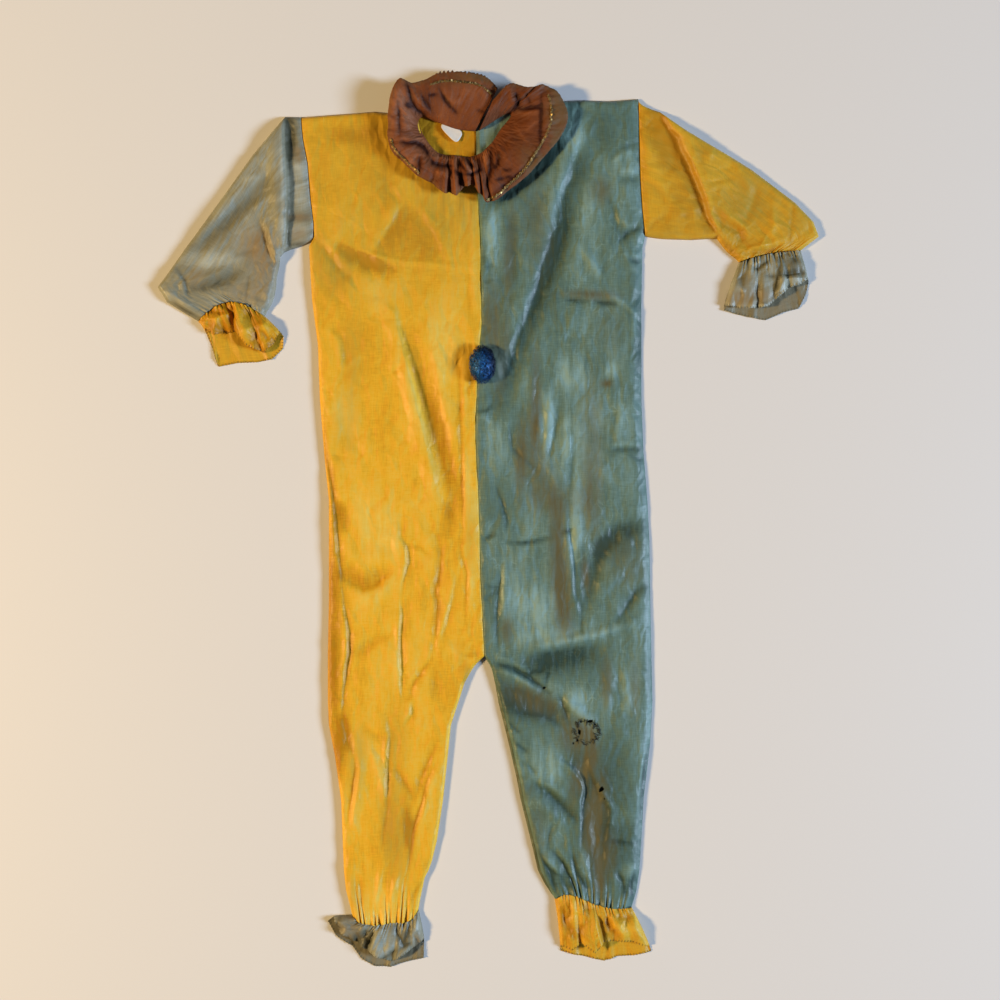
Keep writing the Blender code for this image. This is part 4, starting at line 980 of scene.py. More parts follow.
def front_panel(name, half, material, node):
    level, share = np.meshgrid(
        np.linspace(half.low_y, half.top_y, FRONT_ROWS + 1),
        np.linspace(0.0, 1.0, FRONT_COLUMNS + 1), indexing="ij",
    )
    share = share - EDGE_CROWDING * np.sin(math.tau * share) / math.tau
    x, y, from_side, from_inside = panel_plan(half, NECK_FRONT, share, level, SEAM_GAP / 2)
    z, tone = front_height(half, share, x, y, from_side, from_inside)
    # The half's pale spots add painted sheen highlight and painted shade
    tone = tone + spot_field(half.pale, x, y)
    stain = spot_field(half.stains, x, y)
    piece = cloth_grid(name, x, y, z, x, y, {"tone": tone, "stain": stain}, material)
    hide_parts(node)
    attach(piece, "root")
    return piece


front_yellow = front_panel(
    "yellow_front", YELLOW, yellow_taffeta, "front_yellow"
)
front_teal = front_panel("teal_front", TEAL, teal_taffeta, "front_teal")
for front, cut_area in ((front_yellow, 0.138), (front_teal, 0.147)):
    give_wall(front, PANEL_WALL)


# Worn places of the teal leg
# A patch darned round with dark thread, small holes beside it and a rip in the shin.

# Each hole in the photograph's pixels, its reach in millimetres across and along its turn

Hole = namedtuple("Hole", "x y across along turn")
HOLES = [
    Hole(600.5, 788, 3.4, 2.2, 60), Hole(589.5, 720, 3.2, 1.7, 10), Hole(579, 731, 1.7, 3.0, 10),
    Hole(594.5, 723, 1.6, 1.3, 0), Hole(580.5, 720.5, 1.4, 1.2, 30), Hole(577, 739, 1.4, 1.5, 0),
    Hole(544, 687, 2.0, 1.2, 35), Hole(573, 742, 0.9, 1.2, 0), Hole(604, 797, 0.8, 1.1, 0),
]
TEAR_CUTS = 3
RAGGED_POINTS = 12
RAGGED_EDGE = (0.75, 1.25)
DARN_MIDDLE = (586, 730.5)
DARN_REACH = (12.5, 12.0)
DARN_THREADS = 70
DARN_THREAD_RADIUS = 0.28


def tear(piece, holes, seed):
    """Split the faces round each hole finer, then take away those inside its ragged edge."""
    random = np.random.default_rng(seed)
    bm = bmesh.new()
    bm.from_mesh(piece.data)
    for hole in holes:
        middle = photo_mm([(hole.x, hole.y)])[0] * MM
        turn = math.radians(hole.turn)
        reach = (max(hole.across, hole.along) * 2 + 2.5) * MM
        centre = Vector((*middle, 0.0))
        near = [vert for vert in bm.verts if (vert.co.xy - centre.xy).length < reach]
        near = {edge for vert in near for edge in vert.link_edges if edge.calc_length() > MM}
        bmesh.ops.subdivide_edges(bm, edges=list(near), cuts=TEAR_CUTS, use_grid_fill=True)
        ragged = random.uniform(*RAGGED_EDGE, RAGGED_POINTS)
        gone = []
        for face in bm.faces:
            off_x, off_y = np.array(face.calc_center_median()[:2]) - middle
            across = (off_x * math.cos(turn) + off_y * math.sin(turn)) / (hole.across * MM)
            along = (off_y * math.cos(turn) - off_x * math.sin(turn)) / (hole.along * MM)
            angle = math.atan2(along, across) / math.tau % 1.0
            edge = np.interp(angle, np.linspace(0, 1, RAGGED_POINTS), ragged)
            if math.hypot(across, along) < edge:
                gone.append(face)
        bmesh.ops.delete(bm, geom=gone, context="FACES")
    bm.to_mesh(piece.data)
    bm.free()


tear(front_teal, HOLES, 5)


def cord_grid(bm, points, radius, sides):
    """A thin round thread or cord along a list of points in millimetres."""
    points = np.array(points, float)
    ahead = np.gradient(points, axis=0)
    ahead /= np.linalg.norm(ahead, axis=1)[:, None]
    first = np.cross(ahead, (0.31, 0.17, 0.94))
    first /= np.linalg.norm(first, axis=1)[:, None]
    second = np.cross(ahead, first)
    made = bmesh.ops.create_grid(bm, x_segments=sides, y_segments=len(points) - 1, size=0.5)
    for vert in made["verts"]:
        turn = (vert.co.x + 0.5) * math.tau
        row = round((vert.co.y + 0.5) * (len(points) - 1))
        ring = first[row] * math.cos(turn) + second[row] * math.sin(turn)
        taper = 0.35 if row in (0, len(points) - 1) else 1.0
        vert.co = Vector((points[row] + ring * radius * taper) * MM)


def plain_material(name, colour, roughness, mottle, metallic=0.0):
    """One colour with a little cloudy wear."""
    material = bpy.data.materials.new(name)
    material.use_nodes = True
    tree = material.node_tree
    shader = tree.nodes["Principled BSDF"]
    place = place_node(tree, "ShaderNodeTexCoord").outputs["Object"]
    cloud = place_node(tree, "ShaderNodeTexNoise", {"Vector": place, "Scale": 420.0, "Detail": 2.0})
    dark = tuple(channel * (1.0 - mottle) for channel in colour)
    made = mix_colour(tree, cloud.outputs["Fac"], (*dark, 1.0), (*colour, 1.0))
    tree.links.new(made, shader.inputs["Base Color"])
    shader.inputs["Roughness"].default_value = roughness
    shader.inputs["Metallic"].default_value = metallic
    return material


dark_thread = plain_material("dark_thread", (0.028, 0.032, 0.024), 0.8, mottle=0.4)


def surface_z(piece, x, y):
    """Height of a piece's face above a place, in millimetres."""
    hit, place, _, _ = piece.ray_cast(Vector((x * MM, y * MM, 0.2)), Vector((0, 0, -1)))
    return place.z / MM if hit else 2.0


darning_bm = bmesh.new()
random = np.random.default_rng(31)
for _ in range(DARN_THREADS):
    around = random.uniform(0.0, math.tau)
    out = random.uniform(0.75, 1.1)
    at_x = DARN_MIDDLE[0] + DARN_REACH[0] * out * math.cos(around)
    at_y = DARN_MIDDLE[1] + DARN_REACH[1] * out * math.sin(around)
    start = photo_mm([(at_x, at_y)])[0]
    turn = random.choice([0.1, 1.5, 2.4]) + random.normal(0, 0.35)
    reach = random.uniform(1.5, 4.0)
    stitch = []
    for share in np.linspace(-1, 1, 6):
        at_x = start[0] + math.cos(turn) * reach * share
        at_y = start[1] + math.sin(turn) * reach * share + 0.6 * math.sin(3 * share + turn)
        stitch.append((at_x, at_y, surface_z(front_teal, at_x, at_y) + 0.5 * (1 - share**2)))
    cord_grid(darning_bm, stitch, DARN_THREAD_RADIUS, 3)
darning = add_mesh("darning", darning_bm, dark_thread)
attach(darning, "root")


# Backs
# The two back panels lie flat under the fronts. They show inside the neck, where they open
# in a slit, and as a strip along the inside of the teal leg.

BACK_INSET = 1.3
SLIT_TOP_GAP = -3.0
SLIT_LENGTH = 60.0
BACK_LIE = 0.5
NECK_TUCK = 11.0
# The strip of teal beside the leg shows between these heights, and fades in over a reach
LEG_STRIP = 3.4
STRIP_BELOW_CROTCH = 12
STRIP_FADE = 40.0
STRIP_LOW_Y = -420.0
STRIP_LOW_FADE = 20.0
BACK_WRINKLES = Wrinkles(160, math.pi / 2, 30.0, 0.7)
# A painted shadow for the dark gap at the foot of the slit
SLIT_FOOT = (-18, 409)
SLIT_SHADOW = (4.5, 10)


def back_panel(name, half, material, node, strip, shade, over):
    """A flat back: how far it shows beside the leg, its painted shade in the neck (painted light
    where above nought), and its rise there.
    """
    level, share = np.meshgrid(
        np.linspace(half.low_y, half.top_y, BACK_ROWS + 1),
        np.linspace(0.0, 1.0, BACK_COLUMNS + 1), indexing="ij",
    )
    x, y, _, _ = panel_plan(half, NECK_BACK, share, level, SEAM_GAP / 2)
    towards = math.copysign(1.0, half.side[0].x)
    opened = np.maximum(0.0, 1.0 - (table_y(NECK_BACK, x) - y) / SLIT_LENGTH) * SLIT_TOP_GAP / 2
    x = x + towards * (opened * share - BACK_INSET * (1.0 - share))
    on_leg = rising(y, CROTCH_Y - STRIP_BELOW_CROTCH, -STRIP_FADE)
    on_leg = on_leg * rising(y, STRIP_LOW_Y, STRIP_LOW_FADE)
    x = x - towards * strip * share**6 * on_leg
    y = np.maximum(y, table_y(half.ankle, x) + BACK_INSET)
    tuck = NECK_TUCK * rising(y, 380, 45) * rising(np.abs(x - NECK_MIDDLE_X), 64, -8)
    y = y + tuck
    in_neck = np.exp(-((x + 20) / 60) ** 2) * rising(y, 360, 40)
    small = crumple(x, y, half.seed + 1, BACK_WRINKLES)
    z = BACK_LIE + (0.35 + over + 0.5 * np.clip(small, -0.6, 0.6)) * in_neck
    # Painted shade and highlight follow the small wrinkles, and the given painted shade lies over
    # the neck
    tone = shade + 0.3 * small - shade * rising(y, 360, -20)
    # A painted shadow darkens the foot of the slit
    off_foot = ((x - SLIT_FOOT[0]) / SLIT_SHADOW[0]) ** 2
    tone = tone - 3.0 * np.exp(-off_foot - ((y - SLIT_FOOT[1]) / SLIT_SHADOW[1]) ** 2)
    stain = np.full(x.shape, 0.15) + 0.5 * on_leg
    fields = {"tone": tone, "stain": stain}
    piece = give_wall(cloth_grid(name, x, y, z, x, y, fields, material), PANEL_WALL)
    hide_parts(node)
    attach(piece, "root")
    return piece


back_yellow = back_panel(
    "yellow_back", YELLOW, yellow_taffeta, "back_yellow",
    strip=0.0, shade=-0.85, over=0.0,
)
back_teal = back_panel(
    "teal_back", TEAL, teal_taffeta, "back_teal",
    strip=LEG_STRIP, shade=0.2, over=0.6,
)


# Sleeves
# Each sleeve is one panel sewn into a tube and laid flat, full at the elbow and drawn in at
# the wrist. The silver one is folded over itself beside the armhole; the yellow one has one
# big fold from the shoulder to the elbow.

SLEEVE_EDGE_Z = 1.1
TUBE_EDGE = 3.6
SLEEVE_FULLNESS = 1.2
SLEEVE_ACROSS = 110
SLEEVE_UNDER = 36
SLEEVE_ALONG = 120
SLEEVE_WALL = 0.45
WRIST_GAP = 0.8
LOWER_TUCK = 0.7
SLEEVE_ROLL = 9.0
SLEEVE_EDGE_ROLL = 5.0
SLEEVE_DEEPEST = -1.8
SLEEVE_GATHERS = 0.8
SLEEVE_WRINKLES = Wrinkles(150, 0.9, 26.0, 0.8)
Ring = namedtuple("Ring", "top_x top_y low_x low_y")
YELLOW_SLEEVE_RINGS = [
    Ring(164.5, 461.5, 172, 312), Ring(188, 448, 192, 308), Ring(216, 428, 222, 307),
    Ring(238, 415, 239, 308), Ring(262, 401, 251, 308), Ring(288, 385, 257, 300),
    Ring(312, 367, 262, 294), Ring(337, 348, 266, 290.5), Ring(357, 327, 270, 287.5),
    Ring(363, 311, 273, 285), Ring(343, 295.5, 275, 282.5),
]
SILVER_SLEEVE_RINGS = [
    Ring(-206.3, 441.7, -192.5, 309), Ring(-223, 442, -217, 297), Ring(-240, 422, -224, 294),
    Ring(-258, 401, -229, 289), Ring(-286, 362, -230, 280), Ring(-312, 326, -233, 266),
    Ring(-334, 296, -234, 253), Ring(-352, 270, -236, 244), Ring(-363, 255, -239, 236),
    Ring(-353, 239, -243, 230), Ring(-318.5, 218, -246, 223.5),
]
# A drawn-in wrist: how far its upper seam bows up the sleeve, and which way the sleeve lies
Wrist = namedtuple("Wrist", "rings bow sleeve_side")
YELLOW_SLEEVE_WRIST = Wrist(YELLOW_SLEEVE_RINGS, 3.0, -1)
SILVER_SLEEVE_WRIST = Wrist(SILVER_SLEEVE_RINGS, 18.0, 1)

YELLOW_SLEEVE_CREASES = [
    Crease([(657, 108), (662, 115), (670, 131), (679, 140), (683, 152), (691, 167), (697, 182),
            (704, 200), (708, 216), (716, 234), (721, 246)], 1.2, 26, 4.6, 0.0),
    Crease([(659, 109), (664, 116), (672, 131), (681, 140), (685, 152), (693, 167), (699, 182),
            (706, 200), (710, 216), (718, 234), (723, 246)], 1.2, 2.4, 1.0, 0.75),
    Crease([(652, 103), (660, 115), (668, 131), (677, 140), (681, 152), (689, 167), (692, 176)],
           20, 1.2, -2.6, -1.6),
    Crease([(683, 156), (688, 167), (695, 182), (702, 200), (706, 216), (714, 234)],
           8, 1.2, -2.2, -1.4),
    Crease([(690, 142), (696, 153), (704, 172)], 1.2, 9, -0.6, -0.25),
    Crease([(641, 130), (648, 160), (660, 190), (674, 216), (680, 232)], 8, 6, 1.6, 0.3),
    Crease([(648, 182), (661, 198), (668, 214)], 4, 4, -1.6, -0.45),
    Crease([(682, 219), (692, 213)], 3, 3, -1.4, -0.4),
    Crease([(645, 236), (653, 225), (667, 215)], 2, 2, -1.8, -0.5),
    Crease([(757, 187), (751, 205), (741, 230)], 4, 4, -1.8, -0.35),
    Crease([(712, 210), (722, 225), (738, 233), (741, 243), (748, 250)], 4, 3, -3.4, -0.85),
    Crease([(719, 207), (729, 220), (743, 229), (748, 240)], 3, 4, 2.2, 0.35),
    Crease([(792, 205), (789, 224), (789, 248)], 2, 2, -1.8, -0.5),
    Crease([(745, 250), (770, 246), (784, 240)], 3, 2, 2.4, 0.2),
    Crease([(740, 255), (765, 252), (782, 246)], 2, 3, -2.4, -0.6),
    Crease([(720, 240), (730, 252), (738, 262)], 2, 2, -1.8, -0.5),
    Crease([(731, 160), (742, 180), (748, 200)], 4, 5, 1.2, 0.2),
    Crease([(770, 200), (772, 225), (768, 244)], 3, 4, 1.6, 0.25),
]
# Painted shade over the yellow sleeve, and spots of painted sheen highlight and painted shade
YELLOW_SLEEVE_SHEEN_AND_SHADE = [
    Spot(725, 190, 140, 120, 0, -0.58), Spot(655, 200, 14, 34, -14, 0.3),
    Spot(720, 170, 20, 30, -30, 0.45), Spot(690, 135, 14, 26, -40, 0.35),
    Spot(746, 205, 16, 26, 10, -0.25), Spot(800, 228, 14, 16, 0, 0.1),
    Spot(680, 200, 9, 40, -22, -0.3),
]
YELLOW_SLEEVE_STAINS = [
    Spot(725, 190, 140, 120, 0, 0.50),
    Spot(748, 205, 12, 26, 10, 0.4), Spot(800, 225, 14, 12, 0, 0.3), Spot(660, 236, 22, 4, 0, 0.3),
]
SILVER_SLEEVE_CREASES = [
    Crease([(285, 116), (284, 129), (285, 151), (287, 177), (288, 208), (287, 228), (285, 247),
            (284, 264)], 15, 1.0, 6.4, 0.15),
    Crease([(283, 120), (283, 151), (285, 190), (285, 228), (283, 258)], 1.2, 1.0, 0.8, 0.55),
    Crease([(286, 112), (287, 125), (288, 140), (289, 162)], 0.8, 7, -3.4, -1.5),
    Crease([(288, 140), (289, 165), (290, 195), (289, 228), (287, 262)], 0.8, 3, -2.4, -0.9),
    Crease([(271, 178), (260, 194), (247, 206), (232, 219), (221, 230), (207, 244), (196, 256)],
           6, 6, -2.3, -0.65),
    Crease([(262, 172), (248, 190), (232, 205), (214, 226), (198, 240)], 5, 4, 2.2, 0.3),
    Crease([(258, 218), (265, 234), (269, 250), (278, 272)], 3, 3, -2.4, -0.5),
    Crease([(264, 216), (271, 234), (275, 250), (282, 268)], 3, 3, 1.6, 0.2),
    Crease([(236, 258), (258, 249)], 2, 3, -1.8, -0.5),
    Crease([(186, 292), (208, 288), (230, 280), (246, 269)], 4, 4, -2.0, -0.6),
    Crease([(190, 282), (210, 278), (234, 268)], 4, 4, 1.6, 0.3),
    Crease([(174, 268), (184, 282), (187, 300)], 3, 1.5, 1.6, 0.1),
    Crease([(177, 268), (187, 282), (190, 300)], 1.2, 2.5, -1.5, -0.6),
    Crease([(243, 181), (262, 179)], 2, 2, 1.6, 0.35),
    Crease([(251, 276), (249, 290), (247, 303)], 1.2, 1.2, -1.6, -0.6),
    Crease([(166, 290), (184, 302), (200, 311)], 3, 3, 2.6, 0.2),
    Crease([(172, 301), (186, 311), (201, 319)], 2, 2, -2.2, -0.7),
    Crease([(287, 219), (300, 219), (313, 219)], 3, 3, -1.4, -1.0),
    Crease([(288, 246), (298, 245), (309, 244)], 1.3, 1.3, -1.4, -1.0),
    Crease([(240, 150), (256, 160), (270, 165)], 3, 3, 1.2, 0.2),
    Crease([(264, 290), (272, 302), (268, 312)], 3, 3, 1.8, 0.3),
]
# Spots of painted sheen highlight and painted shade, with the painted shadow beside the silver
# sleeve's fold
SILVER_SLEEVE_SHEEN_AND_SHADE = [
    Spot(291, 146, 5, 24, 0, -0.9), Spot(301, 156, 6, 10, 0, -0.5), Spot(301, 185, 10, 30, 0, 0.65),
    Spot(299, 234, 10, 10, 0, 0.35), Spot(211, 261, 34, 8, 0, 0.5),
    Spot(268, 140, 10, 30, 10, 0.25), Spot(215, 281, 28, 9, 8, -0.5),
    Spot(230, 190, 30, 10, 45, 0.15), Spot(272, 300, 12, 14, 0, 0.25),
    Spot(240, 225, 60, 70, 0, 0.10), Spot(200, 225, 20, 10, 45, -0.1),
]
SILVER_SLEEVE_STAINS = [
    Spot(301, 156, 6, 9, 0, 0.8), Spot(300, 219, 13, 4, 0, 0.8), Spot(266, 262, 14, 30, 0, 0.7),
    Spot(255, 245, 18, 16, 0, 0.5), Spot(198, 278, 10, 10, 0, 0.4), Spot(250, 295, 20, 12, 0, 0.4),
    Spot(299, 236, 9, 9, 0, 0.5),
]


def ring_ends(rings, run):
    at = run * (len(rings) - 1)
    return [np.interp(at, range(len(rings)), column) for column in zip(*rings)]


def up_the_sleeve(wrist):
    """Direction from the wrist to the sleeve, square to the wrist's line."""
    top_x, top_y, low_x, low_y = wrist.rings[-1]
    reach = math.hypot(top_y - low_y, low_x - top_x) * wrist.sleeve_side
    return (top_y - low_y) / reach, (low_x - top_x) / reach


def wrist_line(wrist, share, top, beyond=0.0):
    """Places along a sleeve's drawn-in wrist, or a little beyond it."""
    top_x, top_y, low_x, low_y = wrist.rings[-1]
    up_x, up_y = up_the_sleeve(wrist)
    bow = wrist.bow * np.sin(math.pi * share) * top - beyond
    return mix(top_x, low_x, share) + up_x * bow, mix(top_y, low_y, share) + up_y * bow


def around_tube(across, under, along):
    """Shares across, shares along, and 1 on top or 0 below, for a grid wound round a tube."""
    face = np.concatenate([np.linspace(0, 1, across + 1), np.linspace(1, 0, under + 1)])
    top = np.concatenate([np.ones(across + 1), np.zeros(under + 1)])
    face, top = np.append(face, face[0]), np.append(top, top[0])
    share, run = np.meshgrid(face, np.linspace(0, 1, along + 1))
    return share, run, np.broadcast_to(top, share.shape)


def cloth_lengths(x, y, z):
    """Millimetres of cloth across and along a grid of places, for its UV map."""
    across = np.sqrt(np.diff(x, axis=1) ** 2 + np.diff(y, axis=1) ** 2 + np.diff(z, axis=1) ** 2)
    along = np.sqrt(np.diff(x, axis=0) ** 2 + np.diff(y, axis=0) ** 2 + np.diff(z, axis=0) ** 2)
    u = np.concatenate([[0.0], np.cumsum(across.mean(axis=0))])
    v = np.concatenate([[0.0], np.cumsum(along.mean(axis=1))])
    return np.broadcast_to(u, x.shape), np.broadcast_to(v[:, None], x.shape)


# Marks of a sleeve, ruffle or collar: its creases, its pale spots of painted sheen highlight and
# painted shade, its stains, and the seed of its small wrinkles
Colouring = namedtuple("Colouring", "creases pale stains seed")


def sleeve(name, wrist, half, marks, waves, material, node):
    """A flat tube from the armhole of one half to its drawn-in wrist."""
    rings = wrist.rings
    share, run, top = around_tube(SLEEVE_ACROSS, SLEEVE_UNDER, SLEEVE_ALONG)
    top_x, top_y, low_x, low_y = ring_ends(rings, run)
    width = np.hypot(top_x - low_x, top_y - low_y)
    tuck = LOWER_TUCK / width * (1 - top)
    share = mix(tuck, 1.0 - tuck, share)
    x, y = mix(top_x, low_x, share), mix(top_y, low_y, share)
    first_run = 1.0 / (len(rings) - 1)
    sewn = np.maximum(0.0, 1.0 - run / first_run)
    seam_x = table_x(half.side, y)
    x = x + sewn * (seam_x + np.sign(seam_x) * SEAM_GAP - x)
    up_x, up_y = up_the_sleeve(wrist)
    bow = wrist.bow * np.sin(math.pi * share) * np.maximum(0.0, 2.5 * run - 1.5) * top
    x, y = x + up_x * bow, y + up_y * bow
    drawn = np.maximum(0.0, (run - 1.0 + first_run) / first_run)
    end_x, end_y = wrist_line(wrist, share, top)
    x, y = mix(x, end_x, drawn), mix(y, end_y, drawn)
    from_edge = np.minimum(share, 1.0 - share) * width
    ends = 0.55 + 0.45 * np.clip(np.minimum(5.0 * run, 6.0 * (1.0 - run)), 0.0, 1.0)
    folds, tone = crease_relief(marks.creases, x, y)
    small = crumple(x, y, marks.seed, SLEEVE_WRINKLES)
    lift = (CROWN + SLEEVE_FULLNESS + folds + small) * roll(from_edge, SLEEVE_ROLL) * ends
    reach = 0.085 + 0.035 * np.sin(14.0 * share + 1.0)
    near_wrist = np.maximum(0.0, 1.0 - (1.0 - run) / reach)
    gathers = pucker(share, waves, 0.8) * near_wrist * between_ends(share)
    height = TUBE_EDGE + np.maximum(SLEEVE_DEEPEST, lift)
    height = height + SLEEVE_GATHERS * GATHER_DEPTH * gathers
    at_body = np.clip(run / (0.5 * first_run), 0.0, 1.0)
    height = mix(FRONT_LIE + CAD_WALL, height, at_body**0.5)
    height = mix(SLEEVE_EDGE_Z, height, roll(from_edge, SLEEVE_EDGE_ROLL))
    z = np.where(top > 0, height, BACK_LIE)
    # Painted shade and highlight follow the small wrinkles and the wrist gathers, with the sleeve's
    # spots of painted sheen and shade
    tone = tone + 0.08 * small + 0.45 * gathers + spot_field(marks.pale, x, y)
    fields = {"tone": tone * top, "stain": spot_field(marks.stains, x, y) * top}
    u, v = cloth_lengths(x, y, z)
    piece = cloth_grid(name, x, y, z, u, v, fields, material, closed=True)
    give_wall(piece, SLEEVE_WALL)
    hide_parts(node)
    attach(piece, "root")
    return piece


SILVER_DYE = Dye(
    (0.078, 0.077, 0.048), (0.235, 0.232, 0.165), (0.40, 0.43, 0.37), (0.25, 0.19, 0.105),
    0.36, 0.44, 0.04,
)
silver_taffeta = taffeta(
    "taffeta_silver", SILVER_DYE, crease_size=60.0, crease_depth=0.0023,
    mottle=0.8, slubs=1.2, wear=0.2,
)
yellow_sleeve = sleeve(
    "yellow_sleeve", YELLOW_SLEEVE_WRIST, TEAL,
    Colouring(YELLOW_SLEEVE_CREASES, YELLOW_SLEEVE_SHEEN_AND_SHADE, YELLOW_SLEEVE_STAINS, 41),
    14, yellow_taffeta, "sleeve_yellow",
)
silver_sleeve = sleeve(
    "silver_sleeve", SILVER_SLEEVE_WRIST, YELLOW,
    Colouring(SILVER_SLEEVE_CREASES, SILVER_SLEEVE_SHEEN_AND_SHADE, SILVER_SLEEVE_STAINS, 43),
    13, silver_taffeta, "sleeve_silver",
)


# Wrist and ankle ruffles
# Short gathered tubes that flare from a drawn-in seam to an overlocked hem, crushed into
# their own big folds. The lower layer reaches past the upper one and shows its inner face.

RUFFLE_ACROSS = 120
RUFFLE_UNDER = 60
RUFFLE_ALONG = 52
HEM_ROWS = 3
RUFFLE_RISE = 6.0
HEM_LIFT = 2.2
RUFFLE_TUCK = 0.008
RUFFLE_EDGE_Z = 1.1
RUFFLE_LEAST = 1.6
RUFFLE_WRINKLES = Wrinkles(90, 1.2, 16.0, 1.5)
# Fine gathers at the seam die away down the ruffle, and broad ones grow towards its hem
FINE_GATHERS = 1.9
FINE_FADE = 0.16
BROAD_GATHERS = 2.4
BROAD_WAVES = 5
LOWER_WAVES = 4
# The lower layer is darkened all over as painted shade
LOWER_SHADE = -0.35
LOWER_STAIN = 0.25
# Places along a hem: of the lower layer, and of the upper one in front of it
Hem = namedtuple("Hem", "back_x back_y front_x front_y")
SILVER_ANKLE_HEM = [
    Hem(-177, -440, -170, -436), Hem(-168, -457, -162, -452), Hem(-150, -468, -146, -462),
    Hem(-140, -482, -134, -470), Hem(-125, -491, -121, -478), Hem(-107, -491, -105, -484),
    Hem(-90, -486, -88, -472), Hem(-70, -481, -71, -460),
]
YELLOW_ANKLE_HEM = [
    Hem(79, -474, 80, -467), Hem(91, -477, 92, -471), Hem(106, -480, 102, -463),
    Hem(118, -483, 117, -474), Hem(127, -485, 126, -462), Hem(141, -480, 143, -461),
    Hem(158, -479, 157, -462), Hem(180, -474, 176, -468),
]
YELLOW_WRIST_HEM = [
    Hem(-311, 207, -311, 211), Hem(-304, 190, -300, 202), Hem(-297, 168, -290, 205),
    Hem(-276, 172, -276, 206), Hem(-254, 173, -264, 190), Hem(-238, 176, -246, 183),
    Hem(-226, 188, -236, 192), Hem(-225, 202, -229, 205),
]
SILVER_WRIST_HEM = [
    Hem(352, 261, 351, 264), Hem(349, 248, 341, 257), Hem(341, 232, 330, 254),
    Hem(325, 228, 318, 244), Hem(304, 219, 306, 233), Hem(288, 222, 293, 231),
    Hem(271, 226, 275, 231), Hem(258, 230, 259, 235),
]
SILVER_ANKLE_MARKS = Colouring(
    [
        Crease([(380, 924), (373, 945), (371, 966)], 1.5, 7, 4.2, 0.5),
        Crease([(376, 926), (368, 945), (366, 964)], 4, 1.5, -3.6, -1.0),
        Crease([(394, 922), (400, 933), (404, 943), (413, 939)], 1.6, 2, -4.2, -1.1),
        Crease([(410, 921), (407, 932), (404, 943)], 2, 2, -4.0, -1.1),
        Crease([(357, 928), (358, 938), (360, 947)], 3, 3, -3.8, -1.0),
        Crease([(366, 926), (368, 935), (372, 940)], 3, 2, -2.4, -0.9),
        Crease([(374, 961), (388, 953), (403, 944)], 2, 2.5, -2.0, -0.7),
        Crease([(374, 954), (388, 946), (400, 938)], 4, 3, 2.2, 0.3),
        Crease([(346, 902), (337, 914), (334, 928)], 3, 3, 2.4, 0.3),
        Crease([(342, 912), (338, 922), (345, 930)], 2, 2, -2.6, -0.9),
        Crease([(350, 922), (344, 930), (338, 938)], 2.5, 2, 2.6, 0.3),
        Crease([(348, 930), (352, 942), (354, 948)], 3, 2, -2.4, -0.8),
        Crease([(416, 935), (420, 947), (423, 958)], 3, 3, -3.2, -1.0),
        Crease([(412, 930), (414, 945), (414, 958)], 1.6, 1.6, 2.6, 0.4),
        Crease([(418, 915), (416, 925), (412, 934)], 2, 2, 2.4, 0.3),
    ],
    [
        Spot(380, 935, 60, 50, 0, -0.15), Spot(389, 940, 12, 16, 0, 0.35),
        Spot(362, 940, 10, 14, 0, -0.3), Spot(341, 914, 6, 8, 20, 0.2),
    ],
    [Spot(420, 945, 5, 12, 0, 0.9), Spot(350, 925, 12, 10, 0, 0.5), Spot(345, 903, 5, 8, 0, 0.7)],
    51,
)
YELLOW_ANKLE_MARKS = Colouring(
    [
        Crease([(592, 906), (595, 921), (600, 941), (598, 953)], 9, 1.4, 4.6, 0.25),
        Crease([(597, 912), (600, 926), (604, 944)], 1.4, 4, -3.8, -1.2),
        Crease([(604, 912), (612, 925), (621, 938)], 3, 1.5, -2.6, -0.8),
        Crease([(609, 911), (617, 923), (626, 935)], 2, 5, 2.6, 0.3),
        Crease([(560, 903), (566, 920), (575, 938)], 3, 3, -3.4, -1.1),
        Crease([(556, 905), (558, 925), (561, 946)], 1.5, 2, 2.0, 0.2),
        Crease([(573, 893), (573, 910), (571, 925)], 3, 3, 2.4, 0.5),
        Crease([(588, 902), (585, 918), (580, 930)], 2, 2, -2.2, -0.6),
        Crease([(576, 928), (588, 934), (596, 946)], 2, 2, 1.8, -0.2),
        Crease([(612, 913), (622, 915), (634, 915)], 2, 3, -1.8, -0.6),
        Crease([(616, 926), (630, 924), (641, 928)], 4, 4, 1.6, 0.2),
        Crease([(565, 900), (570, 907), (568, 914)], 1.6, 1.6, -2.0, -0.8),
        Crease([(582, 898), (584, 905), (583, 912)], 1.6, 1.6, -2.0, -0.7),
    ],
    [
        Spot(600, 925, 70, 50, 0, -0.50), Spot(578, 912, 10, 12, 0, 0.3),
        Spot(625, 925, 14, 12, -20, 0.2), Spot(604, 948, 6, 8, 0, -0.5),
    ],
    [
        Spot(600, 925, 70, 50, 0, 0.2), Spot(610, 938, 14, 6, 0, 0.3),
        Spot(640, 930, 6, 12, -20, 0.3),
    ],
    53,
)
